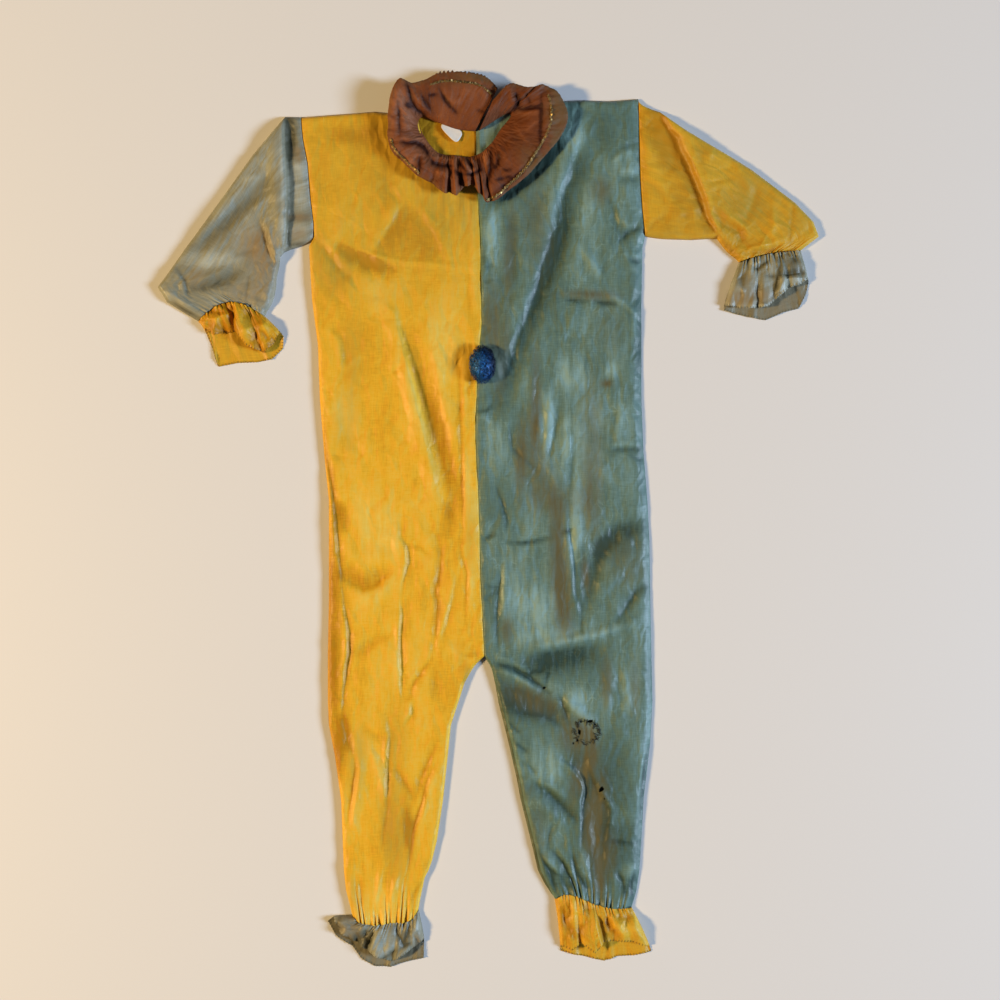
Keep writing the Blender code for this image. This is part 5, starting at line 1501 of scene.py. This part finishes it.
YELLOW_WRIST_MARKS = Colouring(
    [
        Crease([(231, 300), (238, 308), (239, 325), (242, 340), (247, 348)], 1.4, 9, 4.4, 0.35),
        Crease([(234, 306), (235, 322), (237, 338)], 3.5, 1.4, -4.4, -1.3),
        Crease([(243, 306), (252, 317), (259, 329), (258, 350)], 2, 1.6, -3.0, -1.0),
        Crease([(216, 301), (227, 309), (238, 320)], 2, 2, -2.8, -0.9),
        Crease([(214, 305), (222, 309), (231, 316)], 3, 2, 2.0, 0.35),
        Crease([(209, 312), (220, 313), (231, 314)], 1.6, 2, -2.0, -0.8),
        Crease([(211, 322), (222, 319), (234, 313)], 2, 3, 2.6, 0.3),
        Crease([(212, 330), (224, 332), (238, 336)], 4, 3, -4.4, -1.5),
        Crease([(214, 340), (226, 339), (238, 337)], 1.5, 4, 2.6, 0.1),
        Crease([(237, 339), (231, 350), (224, 361)], 1.4, 2, -3.0, -1.0),
        Crease([(224, 360), (240, 359), (257, 356), (276, 347)], 1.5, 1.6, -2.4, -1.0),
        Crease([(262, 322), (268, 330), (272, 338)], 2, 3, 2.2, 0.3),
        Crease([(259, 329), (265, 334), (271, 341)], 1.6, 1.6, -2.2, -0.7),
        Crease([(277, 339), (272, 348), (266, 356)], 3, 3, -3.4, -1.1),
        Crease([(248, 312), (258, 319), (264, 328)], 1.6, 1.6, -2.4, -1.0),
    ],
    [
        Spot(240, 330, 60, 50, 0, -0.95), Spot(248, 332, 7, 18, -20, 0.3),
        Spot(270, 330, 8, 12, -30, 0.2), Spot(234, 333, 6, 6, 0, -0.9),
    ],
    [Spot(245, 335, 6, 18, -20, 0.35), Spot(220, 352, 6, 8, 0, 0.3)],
    57,
)
SILVER_WRIST_MARKS = Colouring(
    [
        Crease([(778, 257), (777, 277), (775, 288), (768, 306)], 1.5, 1.5, -2.2, -0.9),
        Crease([(751, 269), (756, 270), (767, 262)], 2, 1.6, -3.2, -1.2),
        Crease([(747, 262), (755, 265), (764, 258)], 2, 2, 2.4, 0.4),
        Crease([(777, 277), (790, 275), (805, 274)], 4, 1.4, -2.4, -1.0),
        Crease([(778, 281), (792, 280), (806, 279)], 1.4, 4, 2.4, 0.35),
        Crease([(742, 272), (740, 284), (743, 291)], 2, 2, -1.6, -0.5),
        Crease([(735, 288), (740, 292), (744, 294)], 1.6, 1.6, 1.4, 0.4),
        Crease([(758, 284), (756, 292), (752, 300)], 4, 4, -1.4, -0.5),
        Crease([(724, 305), (745, 308), (765, 306), (778, 296), (787, 289)], 1.5, 1.5, 1.8, 0.3),
        Crease([(789, 258), (793, 262), (795, 256)], 1.5, 1.5, -2.2, -0.9),
        Crease([(762, 276), (770, 278), (777, 277)], 1.5, 1.5, -1.2, -0.5),
    ],
    [
        Spot(790, 266, 12, 9, 0, -0.45), Spot(757, 272, 12, 9, 0, 0.3),
        Spot(768, 290, 6, 9, 0, 0.35), Spot(733, 296, 6, 10, 0, 0.2),
        Spot(742, 306, 18, 3, 0, 0.25),
    ],
    [Spot(740, 300, 16, 9, 0, 0.8), Spot(762, 298, 10, 8, 0, 0.6), Spot(748, 280, 10, 10, 0, 0.2)],
    59,
)


def ankle_line(half, share):
    x, y, _, _ = panel_plan(half, NECK_FRONT, share, np.full(share.shape, half.low_y), SEAM_GAP / 2)
    return x, y - SEAM_GAP


def ruffle(name, seam, hem, marks, waves, phase, material, node):
    """A gathered tube from seam(share, top) to its hem, its hem's line and one inside it."""
    share, run, top = around_tube(RUFFLE_ACROSS, RUFFLE_UNDER, RUFFLE_ALONG)
    tuck = RUFFLE_TUCK * (1 - top)
    share = mix(tuck, 1.0 - tuck, share)
    places = np.linspace(0.0, 1.0, len(hem))
    back_x, back_y, front_x, front_y = [np.interp(share, places, column) for column in zip(*hem)]
    end_x, end_y = mix(back_x, front_x, top), mix(back_y, front_y, top)
    seam_x, seam_y = seam(share, top)
    flare = np.sin(run * math.pi / 2) * mix(0.9, 1.0, run)
    x = mix(mix(seam_x, end_x, run), mix(seam_x, end_x, flare), 0.35)
    y = mix(seam_y, end_y, run)
    folds, tone = crease_relief(marks.creases, x, y)
    small = crumple(x, y, marks.seed, RUFFLE_WRINKLES)
    edge = roll(np.minimum(share, 1.0 - share), 0.14)
    swell = np.sin(math.pi * (0.12 + 0.72 * run))
    fine = pucker(share, waves, phase) * np.exp(-run / FINE_FADE)
    broad = pucker(share, BROAD_WAVES, phase + 1.0) * run
    lift = RUFFLE_RISE * swell + folds + small + FINE_GATHERS * fine + BROAD_GATHERS * broad
    height = np.maximum(RUFFLE_LEAST, TUBE_EDGE + edge * lift)
    height = mix(RUFFLE_EDGE_Z, height, roll(np.minimum(share, 1.0 - share), 0.05))
    lower_lift = HEM_LIFT * run**2 * pucker(share, LOWER_WAVES, phase + 2.0)
    lower = BACK_LIE + np.maximum(0.0, lower_lift)
    z = np.where(top > 0, height, lower)
    # Painted shade and highlight follow the folds, small wrinkles and gathers, with the ruffle's
    # spots of painted sheen and shade
    tone = 1.2 * tone + 0.14 * small + 0.7 * fine + 0.3 * broad + spot_field(marks.pale, x, y)
    stain = spot_field(marks.stains, x, y)
    fields = {
        "tone": np.where(top > 0, tone, LOWER_SHADE),
        "stain": np.where(top > 0, stain, LOWER_STAIN),
    }
    u, v = cloth_lengths(x, y, z)
    piece = cloth_grid(name, x, y, z, u, v, fields, material, closed=True)
    give_wall(piece, SLEEVE_WALL)
    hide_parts(node)
    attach(piece, "root")
    places = np.stack([x, y, z], axis=2)
    return piece, places[-1], places[-1 - HEM_ROWS]


silver_ankle, *silver_ankle_hem = ruffle(
    "silver_ankle_ruffle", lambda share, top: ankle_line(YELLOW, share), SILVER_ANKLE_HEM,
    SILVER_ANKLE_MARKS, waves=17, phase=0.4,
    material=silver_taffeta, node="ankle_ruffle_silver",
)
yellow_ankle, *yellow_ankle_hem = ruffle(
    "yellow_ankle_ruffle", lambda share, top: ankle_line(TEAL, 1.0 - share), YELLOW_ANKLE_HEM,
    YELLOW_ANKLE_MARKS, waves=18, phase=1.9,
    material=yellow_taffeta, node="ankle_ruffle_yellow",
)
silver_wrist, *silver_wrist_hem = ruffle(
    "silver_wrist_ruffle",
    lambda share, top: wrist_line(YELLOW_SLEEVE_WRIST, share, top, WRIST_GAP), SILVER_WRIST_HEM,
    SILVER_WRIST_MARKS, waves=15, phase=0.8,
    material=silver_taffeta, node="wrist_ruffle_silver",
)
yellow_wrist, *yellow_wrist_hem = ruffle(
    "yellow_wrist_ruffle",
    lambda share, top: wrist_line(SILVER_SLEEVE_WRIST, share, top, WRIST_GAP), YELLOW_WRIST_HEM,
    YELLOW_WRIST_MARKS, waves=15, phase=0.8,
    material=yellow_taffeta, node="wrist_ruffle_yellow",
)


# Collar
# One red-brown strip gathered tightly round the neck and standing up in an arch of crushed
# pleats, open at the back, with a pinked free edge.

COLLAR_COLUMNS = 680
COLLAR_ROWS = 34
COLLAR_WALL = 0.5
COLLAR_PLEATS = 24
COLLAR_NECK_Z = 6.7
COLLAR_ARCH = 8.0
COLLAR_INNER_SLOPE = 55.0
COLLAR_WRINKLES = Wrinkles(260, 0.8, 11.0, 1.2)
# Its hem seam is stained from this share of the way to the free edge
HEM_STAIN_FROM = 0.86
HEM_STAIN_REACH = 0.08
TOOTH_PITCH = 3.4
TOOTH_DEPTH = 1.3
TOOTH_LENGTHS = 400
# How far the pinked edge has frayed, at shares of the collar's length
FRAY_SHARES = [0.0, 0.03, 0.04, 0.09, 0.10, 1.0]
FRAY_AMOUNTS = [0.3, 0.3, 2.2, 2.2, 0.25, 0.25]
Station = namedtuple("Station", "neck_x neck_y edge_x edge_y edge_z pleat")
# From the left of the back slit round the front to the right of it
COLLAR = [
    Station(-13, 428, 10, 472, 8, 0.1), Station(-32, 431, -8, 487, 10, 0.15),
    Station(-52, 437, -48, 490, 11, 0.3), Station(-66, 441, -70, 481, 12, 0.5),
    Station(-73, 443, -84, 478, 14, 0.9), Station(-78, 440, -99, 482, 18, 0.9),
    Station(-78, 434, -108, 460, 16, 0.6), Station(-77, 428, -110, 432, 14, 0.8),
    Station(-73, 419, -108, 408, 14, 0.9), Station(-66, 409, -91, 388, 14, 1.2),
    Station(-57, 400, -70, 372, 13, 1.0), Station(-46, 396, -46, 358, 13, 1.2),
    Station(-36, 396, -33, 357, 14, 1.1), Station(-25, 395, -21, 367, 14, 1.1),
    Station(-16, 395, -9, 357, 13, 0.9), Station(-7, 398, 1, 347, 12, 0.7),
    Station(0, 404, 21, 359, 12, 0.7), Station(7, 411, 43, 377, 12, 0.7),
    Station(12, 418, 60, 396, 13, 0.6), Station(18, 427, 79, 419, 13, 0.7),
    Station(24, 435, 87, 442, 14, 0.7), Station(28, 443, 77, 466, 15, 0.7),
    Station(24, 446, 60, 476, 16, 0.7), Station(16, 443, 45, 473, 16, 0.9),
    Station(6, 438, 24, 477, 16, 0.8), Station(-9, 428, 5, 459, 14, 0.4),
]
# How much of the even pleating is left, at shares of the collar's length
PLEAT_SHARES = [0.0, 0.12, 0.20, 0.36, 0.45, 0.60, 0.66, 0.80, 0.88, 1.0]
PLEAT_DEPTHS = [0.04, 0.06, 0.22, 0.25, 0.65, 0.60, 0.05, 0.03, 0.40, 0.25]
COLLAR_INWARD = 0.07
COLLAR_MARKS = Colouring(
    [
        # Rolled left lobe and the flap behind it
        Crease([(401, 84), (394, 95), (391, 111), (391, 125), (392, 138)], 6, 6, 4.5, 0.0),
        Crease([(406, 82), (409, 92), (412, 103), (417, 112), (428, 118)], 1.6, 1.8, -5.0, -1.7),
        Crease([(411, 83), (414, 92), (418, 102), (425, 111), (433, 116)], 1.5, 2.5, 2.6, 0.35),
        Crease([(398, 102), (399, 116), (400, 128), (401, 140)], 1.2, 1.5, -2.6, -1.2),
        Crease([(402, 117), (410, 130), (420, 139)], 2, 3, 2.2, 0.4),
        Crease([(400, 139), (407, 141), (415, 140), (423, 142), (428, 147), (431, 153)],
               1.5, 1.5, 4.0, 0.8),
        Crease([(400, 143), (408, 145), (416, 144), (422, 147), (427, 153), (430, 160)],
               1.4, 2.2, -4.5, -1.8),
        Crease([(420, 157), (420, 168), (419, 178)], 1.5, 1.8, -3.6, -1.6),
        Crease([(403, 152), (411, 165), (418, 175)], 3, 3, 1.6, 0.2),
        Crease([(438, 88), (443, 98), (450, 108), (459, 117)], 1.3, 1.6, -3.0, -1.3),
        Crease([(441, 87), (447, 98), (455, 108)], 1.5, 3, 1.4, 0.3),
        Crease([(428, 98), (434, 97), (439, 96)], 1.2, 1.2, -2.2, -1.3),
        Crease([(475, 112), (481, 113), (488, 115)], 1.2, 1.2, -1.6, -0.8),
        Crease([(419, 93), (424, 102), (430, 110), (435, 118)], 1.3, 1.5, -2.0, -0.8),
        # Crushed front
        Crease([(429, 159), (434, 165), (444, 167), (455, 168)], 1.6, 2.2, -4.6, -1.8),
        Crease([(431, 156), (444, 161), (455, 162)], 1.5, 2, 3.0, 0.5),
        Crease([(432, 173), (445, 174), (452, 182)], 3, 3, 2.2, 0.3),
        Crease([(457, 153), (455, 162), (453, 171)], 1.6, 2, 4.4, 0.6),
        Crease([(457, 153), (462, 163), (468, 170), (475, 176)], 1.4, 2, 4.4, 0.7),
        Crease([(458, 160), (463, 168), (467, 174)], 1.4, 1.4, -3.0, -1.4),
        Crease([(455, 171), (458, 176), (462, 176), (461, 182), (460, 189)], 1.3, 1.3, -4.0, -1.7),
        Crease([(464, 176), (469, 176), (475, 177)], 1.3, 1.3, -2.8, -1.3),
        Crease([(465, 158), (470, 166), (476, 170)], 1.3, 1.3, -2.8, -1.3),
        Crease([(471, 160), (474, 167), (475, 174)], 1.4, 1.6, 3.4, 0.5),
        Crease([(478, 159), (480, 167), (481, 174)], 1.3, 1.3, -2.8, -1.3),
        Crease([(471, 176), (478, 173), (484, 171)], 1.3, 1.3, -2.8, -1.2),
        Crease([(486, 151), (485, 160), (486, 169)], 2, 2, 3.4, 0.5),
        Crease([(491, 148), (491, 160), (491, 170), (488, 182), (485, 193)], 1.5, 1.7, -4.8, -1.8),
        Crease([(497, 153), (499, 160), (498, 166), (494, 171)], 1.6, 1.6, -3.4, -1.6),
        # Broad right flap with its hem seam
        Crease([(494, 182), (503, 180), (513, 177)], 1.2, 1.4, -2.6, -1.3),
        Crease([(501, 170), (507, 172), (513, 171)], 1.2, 1.2, -2.0, -1.1),
        Crease([(517, 112), (528, 110), (542, 108)], 1.3, 1.7, -3.6, -1.7),
        Crease([(519, 116), (530, 114), (541, 113)], 1.6, 2.5, 2.0, 0.4),
        Crease([(515, 94), (518, 101), (517, 108), (513, 115)], 1.6, 1.8, -5.0, -1.9),
        Crease([(509, 86), (511, 96), (512, 106)], 2, 2, 3.0, 0.3),
        Crease([(541, 90), (541, 110), (540, 140), (541, 153)], 1.2, 1.4, -1.8, -1.1),
        Crease([(541, 151), (533, 163), (515, 178), (497, 192), (489, 200)], 1.3, 1.6, -2.0, -1.1),
        Crease([(526, 133), (533, 126), (539, 121)], 1.2, 1.2, 1.4, 0.5),
        Crease([(514, 127), (522, 138), (534, 151)], 1.3, 1.3, 1.2, 0.35),
        Crease([(524, 94), (529, 102), (531, 109)], 1.3, 1.3, -2.0, -0.8),
    ],
    [
        Spot(470, 100, 20, 14, 8, 0.3), Spot(525, 135, 26, 40, 25, -0.32),
        Spot(410, 111, 4, 3, 0, -1.5), Spot(400, 115, 14, 40, 0, 0.42),
        Spot(425, 165, 20, 12, -30, 0.3), Spot(400, 145, 12, 10, -30, -0.2),
        Spot(487, 162, 5, 9, 0, 0.3), Spot(552, 110, 8, 20, 0, -0.2),
        Spot(440, 185, 16, 8, -15, -0.3), Spot(428, 108, 5, 14, 0, -0.6),
        Spot(503, 102, 6, 12, 20, -0.2),
    ],
    [Spot(556, 120, 10, 34, 0, 0.9), Spot(535, 168, 12, 22, 40, 0.7), Spot(470, 84, 34, 6, 6, 0.5)],
    61,
)


def collar_stations(around):
    """Each column of the collar's table, read smoothly at shares of its length."""
    at = np.clip(around, 0.0, 1.0) * (len(COLLAR) - 1)
    first = np.minimum(at.astype(int), len(COLLAR) - 2)
    share = at - first
    table = np.array(COLLAR)
    before, start, stop, after = [
        table[np.clip(first + k, 0, len(COLLAR) - 1)] for k in (-1, 0, 1, 2)
    ]
    share = share[..., None]
    out, into = (stop - before) / 2, (after - start) / 2
    curve = start + share * out
    curve = curve + share**2 * (3 * (stop - start) - 2 * out - into)
    curve = curve + share**3 * (2 * (start - stop) + out + into)
    return np.moveaxis(curve, -1, 0)


def collar_places(around, run):
    """Places on the collar: around runs along the neck, run from the neck to the free edge."""
    neck_x, neck_y, edge_x, edge_y, edge_z, pleat = collar_stations(around)
    turn = around * COLLAR_PLEATS * math.tau
    turn = turn + 1.3 * np.sin(around * 23.0) + 0.9 * np.sin(around * 41.0 + 1.0)
    depth = pleat * np.interp(around, PLEAT_SHARES, PLEAT_DEPTHS)
    wave = np.sin(turn) + 0.4 * np.sin(2.3 * turn + 2.0 * np.sin(around * 17.0)) * (1 - 0.4 * run)
    wave = wave * depth
    reach = np.hypot(edge_x - neck_x, edge_y - neck_y)
    out_x, out_y = (edge_x - neck_x) / reach, (edge_y - neck_y) / reach
    x = mix(neck_x, edge_x, run) + out_x * 2.0 * wave * run
    y = mix(neck_y, edge_y, run) + out_y * 2.0 * wave * run
    rise = np.sin(0.92 * math.pi * np.maximum(0.0, run)) ** 0.8
    z = mix(COLLAR_NECK_Z, edge_z, run) + COLLAR_ARCH * rise
    z = z + wave * (0.7 + 3.9 * np.maximum(0.0, run) ** 0.8)
    z = z + COLLAR_INNER_SLOPE * np.minimum(0.0, run)
    fine = np.sin(around * 92 * math.tau + 3 * np.sin(around * 31)) * np.exp(-np.abs(run) / 0.07)
    folds, tone = crease_relief(COLLAR_MARKS.creases, x, y)
    hold = np.sin(math.pi * np.clip(run, 0.10, 0.86)) ** 0.5
    z = z + 0.45 * fine * np.minimum(1.0, 3.0 * depth) + folds * hold
    # A place read from above lies nearer to the camera's axis, the higher it stands
    sight = 1.0 - (z - COLLAR_NECK_Z) * MM / CAMERA_HEIGHT
    x, y = mix(view_x / MM, x, sight), mix(view_y / MM, y, sight)
    return x, y, z, out_x, out_y, wave, tone


around, run = np.meshgrid(
    np.linspace(0.0, 1.0, COLLAR_COLUMNS + 1),
    np.linspace(-COLLAR_INWARD, 1.0, COLLAR_ROWS + 1),
)
x, y, z, out_x, out_y, wave, tone = collar_places(around, run)
small = crumple(x, y, COLLAR_MARKS.seed, COLLAR_WRINKLES)
z = z + small
u, v = cloth_lengths(x, y, z)
teeth = np.abs((u / TOOTH_PITCH) % 1.0 - 0.5) * 2.0 - 0.5
tooth = (u / TOOTH_PITCH).astype(int) % TOOTH_LENGTHS
frayed = np.random.default_rng(67).uniform(0.1, 1.7, TOOTH_LENGTHS)[tooth]
fray = np.interp(around, FRAY_SHARES, FRAY_AMOUNTS)
x = x + out_x * teeth * fray * frayed * TOOTH_DEPTH * (run == 1.0)
y = y + out_y * teeth * fray * frayed * TOOTH_DEPTH * (run == 1.0)
# Painted shade and highlight follow the pleats and small wrinkles, with the collar's spots of
# painted sheen and shade
tone = tone + 0.35 * wave * run + 0.16 * small + spot_field(COLLAR_MARKS.pale, x, y)
stain = spot_field(COLLAR_MARKS.stains, x, y)
stain = stain + 0.4 * rising(run, HEM_STAIN_FROM, HEM_STAIN_REACH)
RED_DYE = Dye(
    (0.038, 0.008, 0.003), (0.166, 0.050, 0.0175), (0.32, 0.122, 0.056), (0.135, 0.070, 0.026),
    0.17, 0.60, 0.02,
)
red_taffeta = taffeta(
    "taffeta_red_brown", RED_DYE, crease_size=110.0, crease_depth=0.0020,
    mottle=0.7, slubs=0.7, wear=0.15,
)
collar = cloth_grid("collar_strip", x, y, z, u, v, {"tone": tone, "stain": stain}, red_taffeta)
give_wall(collar, COLLAR_WALL, 0.0)
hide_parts("collar")
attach(collar, "root")


# Braid
# Two thin metal cords plaited flat along the collar's hem, with small round spangles, sewn
# on at the back and down the right of the front. The rest of it has come away.

# Where the braid runs on the collar: shares of its length, and of the way to its free edge
BRAID_SHARES = [0.0, 0.105, 0.30, 0.39, 0.585, 0.64, 0.70, 0.76, 0.80, 0.86]
BRAID_RUNS = [0.80, 0.80, 0.90, 0.88, 0.95, 0.90, 0.84, 0.74, 0.70, 0.82]
BRAID_OFF = 0.9
CORD_RADIUS = 0.34
PLAIT_PITCH = 4.6
PLAIT_SWING = 1.35
SPANGLE_RADIUS = 0.95
SPANGLE_PITCH = 4.8
BRAID_SAMPLES = 1600
# Where each braid is sewn on, as shares of the collar's length
BRAIDS = {
    "braid_back_left": ((0.006, 0.108), (0.305, 0.388)),
    "braid_right": ((0.586, 0.85),),
}
tarnished_gold = plain_material("braid_gold", (0.52, 0.34, 0.12), 0.42, mottle=0.9, metallic=0.80)


def collar_frame(around):
    """Places under the braid, the way to the free edge and the way up from the cloth."""
    runs = np.interp(around, BRAID_SHARES, BRAID_RUNS)
    here = np.stack(collar_places(around, runs)[:3], axis=1)
    ahead = np.stack(collar_places(around + 0.001, runs)[:3], axis=1) - here
    outer = np.stack(collar_places(around, runs + 0.05)[:3], axis=1) - here
    ahead /= np.linalg.norm(ahead, axis=1)[:, None]
    outer /= np.linalg.norm(outer, axis=1)[:, None]
    normal = np.cross(ahead, outer)
    normal /= np.linalg.norm(normal, axis=1)[:, None]
    normal *= np.sign(normal[:, 2:])
    return here, outer, normal


def lay_braid(bm, first, last, seed):
    random = np.random.default_rng(seed)
    here, outer, normal = collar_frame(np.linspace(first, last, BRAID_SAMPLES))
    length = np.concatenate([[0], np.cumsum(np.linalg.norm(np.diff(here, axis=0), axis=1))])
    for phase in (0.0, math.pi, math.pi / 2):
        stations = np.arange(0.0, length[-1], PLAIT_PITCH / 7)
        turn = stations / PLAIT_PITCH * math.tau + phase
        spine, side, up = [
            np.stack([np.interp(stations, length, axis) for axis in field.T], axis=1)
            for field in (here, outer, normal)
        ]
        swing = PLAIT_SWING * (0.8 + 0.3 * np.sin(stations / 9.0 + phase))
        path = spine + side * (np.sin(turn) * swing)[:, None]
        path = path + up * (BRAID_OFF + 0.35 * np.cos(2 * turn + phase))[:, None]
        cord_grid(bm, path, CORD_RADIUS * (0.8 if phase == math.pi / 2 else 1.0), 5)
    for station in np.arange(3.0, length[-1] - 2.0, SPANGLE_PITCH):
        at = station + random.uniform(-1.5, 1.5)
        spine, side, up = [
            np.array([np.interp(at, length, axis) for axis in field.T])
            for field in (here, outer, normal)
        ]
        disc = bmesh.ops.create_circle(bm, cap_ends=True, segments=10, radius=SPANGLE_RADIUS * MM)
        lean = Vector(up) + Vector(random.normal(0.0, 0.35, 3))
        bmesh.ops.rotate(
            bm, verts=disc["verts"], matrix=lean.to_track_quat("Z", "Y").to_matrix()
        )
        place = Vector((spine + up * (BRAID_OFF + 0.9) + side * random.uniform(-0.8, 0.8)) * MM)
        bmesh.ops.translate(bm, verts=disc["verts"], vec=place)


for node, stretches in BRAIDS.items():
    bm = bmesh.new()
    for number, (first, last) in enumerate(stretches):
        lay_braid(bm, first, last, 71 + number)
    piece = add_mesh(f"{node}_cords", bm, tarnished_gold)
    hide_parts(node)
    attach(piece, "root")


# Pompom
# A ball of blue foil tinsel tied at the middle of the front seam, flattened and matted.

POMPOM = Vector((-6.5, 169.0, 13.0))
POMPOM_RADII = (14.0, 20.5, 7.5)
TINSEL_STRANDS = 1500
TINSEL_WIDTH = 0.62
TINSEL_LENGTHS = (4.0, 9.0)
tinsel_material = bpy.data.materials.new("tinsel_blue")
tinsel_material.use_nodes = True
tree = tinsel_material.node_tree
shader = tree.nodes["Principled BSDF"]
# Each strand's blue comes from its tone, which varies at random and holds painted shade towards the
# rim
strand_hue_and_shade = place_node(tree, "ShaderNodeAttribute", attribute_name="tone").outputs["Fac"]
foil = mix_colour(tree, strand_hue_and_shade, (0.002, 0.010, 0.035, 1.0), (0.022, 0.21, 0.66, 1.0))
tree.links.new(foil, shader.inputs["Base Color"])
shader.inputs["Metallic"].default_value = 0.30
shader.inputs["Roughness"].default_value = 0.48

random = np.random.default_rng(83)
bm = bmesh.new()
bmesh.ops.create_icosphere(bm, subdivisions=3, radius=0.78)
tone_layer = bm.verts.layers.float.new("tone")
for vert in bm.verts:
    vert.co = Vector(a * b for a, b in zip(vert.co, POMPOM_RADII))
for _ in range(TINSEL_STRANDS):
    aim = random.normal(0.0, 1.0, 3)
    aim /= np.linalg.norm(aim)
    aim[2] = abs(aim[2]) - 0.18
    root = aim * POMPOM_RADII * random.uniform(0.72, 0.98)
    drift = random.normal(0.0, 1.0, 3)
    drift -= aim * np.dot(drift, aim)
    drift /= np.linalg.norm(drift)
    length = random.uniform(*TINSEL_LENGTHS)
    made = bmesh.ops.create_grid(bm, x_segments=1, y_segments=6, size=0.5)
    bend = random.uniform(-1.6, 1.6)
    side = np.cross(aim, drift)
    side /= np.linalg.norm(side)
    # Painted shade: strands are darker towards the rim of the ball and its lower left
    rim = (aim[0] + 0.25) ** 2 + (aim[1] + 0.1) ** 2
    shade = random.uniform(0.1, 1.0) ** 1.1 * max(0.0, 1.35 - rim)
    for vert in made["verts"]:
        share, across = vert.co.y + 0.5, vert.co.x
        twist = share * random.uniform(2.6, 3.0) + bend
        lie = side * math.cos(twist) + np.cross(aim, side) * math.sin(twist)
        place = root + drift * length * (share - 0.5) + lie * across * TINSEL_WIDTH
        place = place + aim * 1.9 * (math.sin(math.pi * share) + bend * 0.3 * share**2)
        vert.co = Vector(place)
        vert[tone_layer] = shade
bmesh.ops.scale(bm, verts=bm.verts, vec=(MM, MM, MM))
bmesh.ops.translate(bm, verts=bm.verts, vec=POMPOM * MM)
pompom = add_mesh("tinsel_pompom", bm, tinsel_material)
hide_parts("pompom")
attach(pompom, "root")


# Neck label
# A small bare tag of white tape sewn inside the back neck, one corner lifted.

LABEL_CORNERS = [(440, 128.5), (444, 121.5), (464, 132.5), (456.5, 145.5)]
LABEL_WALL = 0.35
tape_material = plain_material("label_white", (0.74, 0.71, 0.64), 0.62, mottle=0.18)
(left_x, left_y), (top_x, top_y), (right_x, right_y), (low_x, low_y) = photo_mm(LABEL_CORNERS)
down, across = np.meshgrid(np.linspace(0, 1, 13), np.linspace(0, 1, 17), indexing="ij")
wide, deep = 2.0 * across - 1.0, 2.0 * down - 1.0
across, down = across - 0.09 * wide * deep**4, down - 0.09 * deep * wide**4
x = mix(mix(top_x, right_x, across), mix(left_x, low_x, across), down)
y = mix(mix(top_y, right_y, across), mix(left_y, low_y, across), down)
z = 2.0 + 1.6 * down**2 + 0.5 * np.sin(3.0 * across + 1.0) * down + 0.9 * across * down
zero = np.zeros(x.shape)
u, v = cloth_lengths(x, y, z)
label = cloth_grid("neck_tape", x, y, z, u, v, {"tone": zero, "stain": zero}, tape_material)
give_wall(label, LABEL_WALL)
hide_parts("neck_label")
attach(label, "root")


# Overlocking of the ruffle hems
# Dark and self-coloured thread thrown over each raw hem, stitch by stitch.

brown_thread = plain_material("brown_thread", (0.12, 0.055, 0.012), 0.75, mottle=0.3)
olive_thread = plain_material("olive_thread", (0.13, 0.12, 0.065), 0.75, mottle=0.3)
STITCH_PITCH = 3.4
STITCH_SLANT = 1.2
STITCH_RADIUS = 0.24
# What is sewn, its hem, the thread, and the ruffle's cut all round and from seam to hem
HEM_THREADS = [
    (yellow_ankle, yellow_ankle_hem, brown_thread, (0.24, 0.050)),
    (yellow_wrist, yellow_wrist_hem, brown_thread, (0.19, 0.044)),
    (silver_ankle, silver_ankle_hem, olive_thread, (0.20, 0.045)),
    (silver_wrist, silver_wrist_hem, olive_thread, (0.22, 0.052)),
]
for ruffled, (edge, inner), thread, cut in HEM_THREADS:
    bm = bmesh.new()
    length = np.concatenate([[0], np.cumsum(np.linalg.norm(np.diff(edge, axis=0), axis=1))])
    for at in np.arange(1.0, length[-1] - 1.0, STITCH_PITCH):
        rim = np.array([np.interp(at, length, axis) for axis in edge.T])
        back = np.array([np.interp(at + STITCH_SLANT, length, axis) for axis in inner.T])
        inward = (back - rim) / max(np.linalg.norm(back - rim), 0.1)
        path = [
            rim + inward * 2.4 + (0, 0, 0.45), rim + inward * 1.2 + (0, 0, 0.75),
            rim - inward * 0.25 + (0, 0, 0.45), rim - inward * 0.3 + (0, 0, -0.35),
        ]
        cord_grid(bm, path, STITCH_RADIUS, 4)
    stitches = add_mesh(ruffled.name.replace("ruffle", "stitches"), bm, thread)
    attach(stitches, "root")
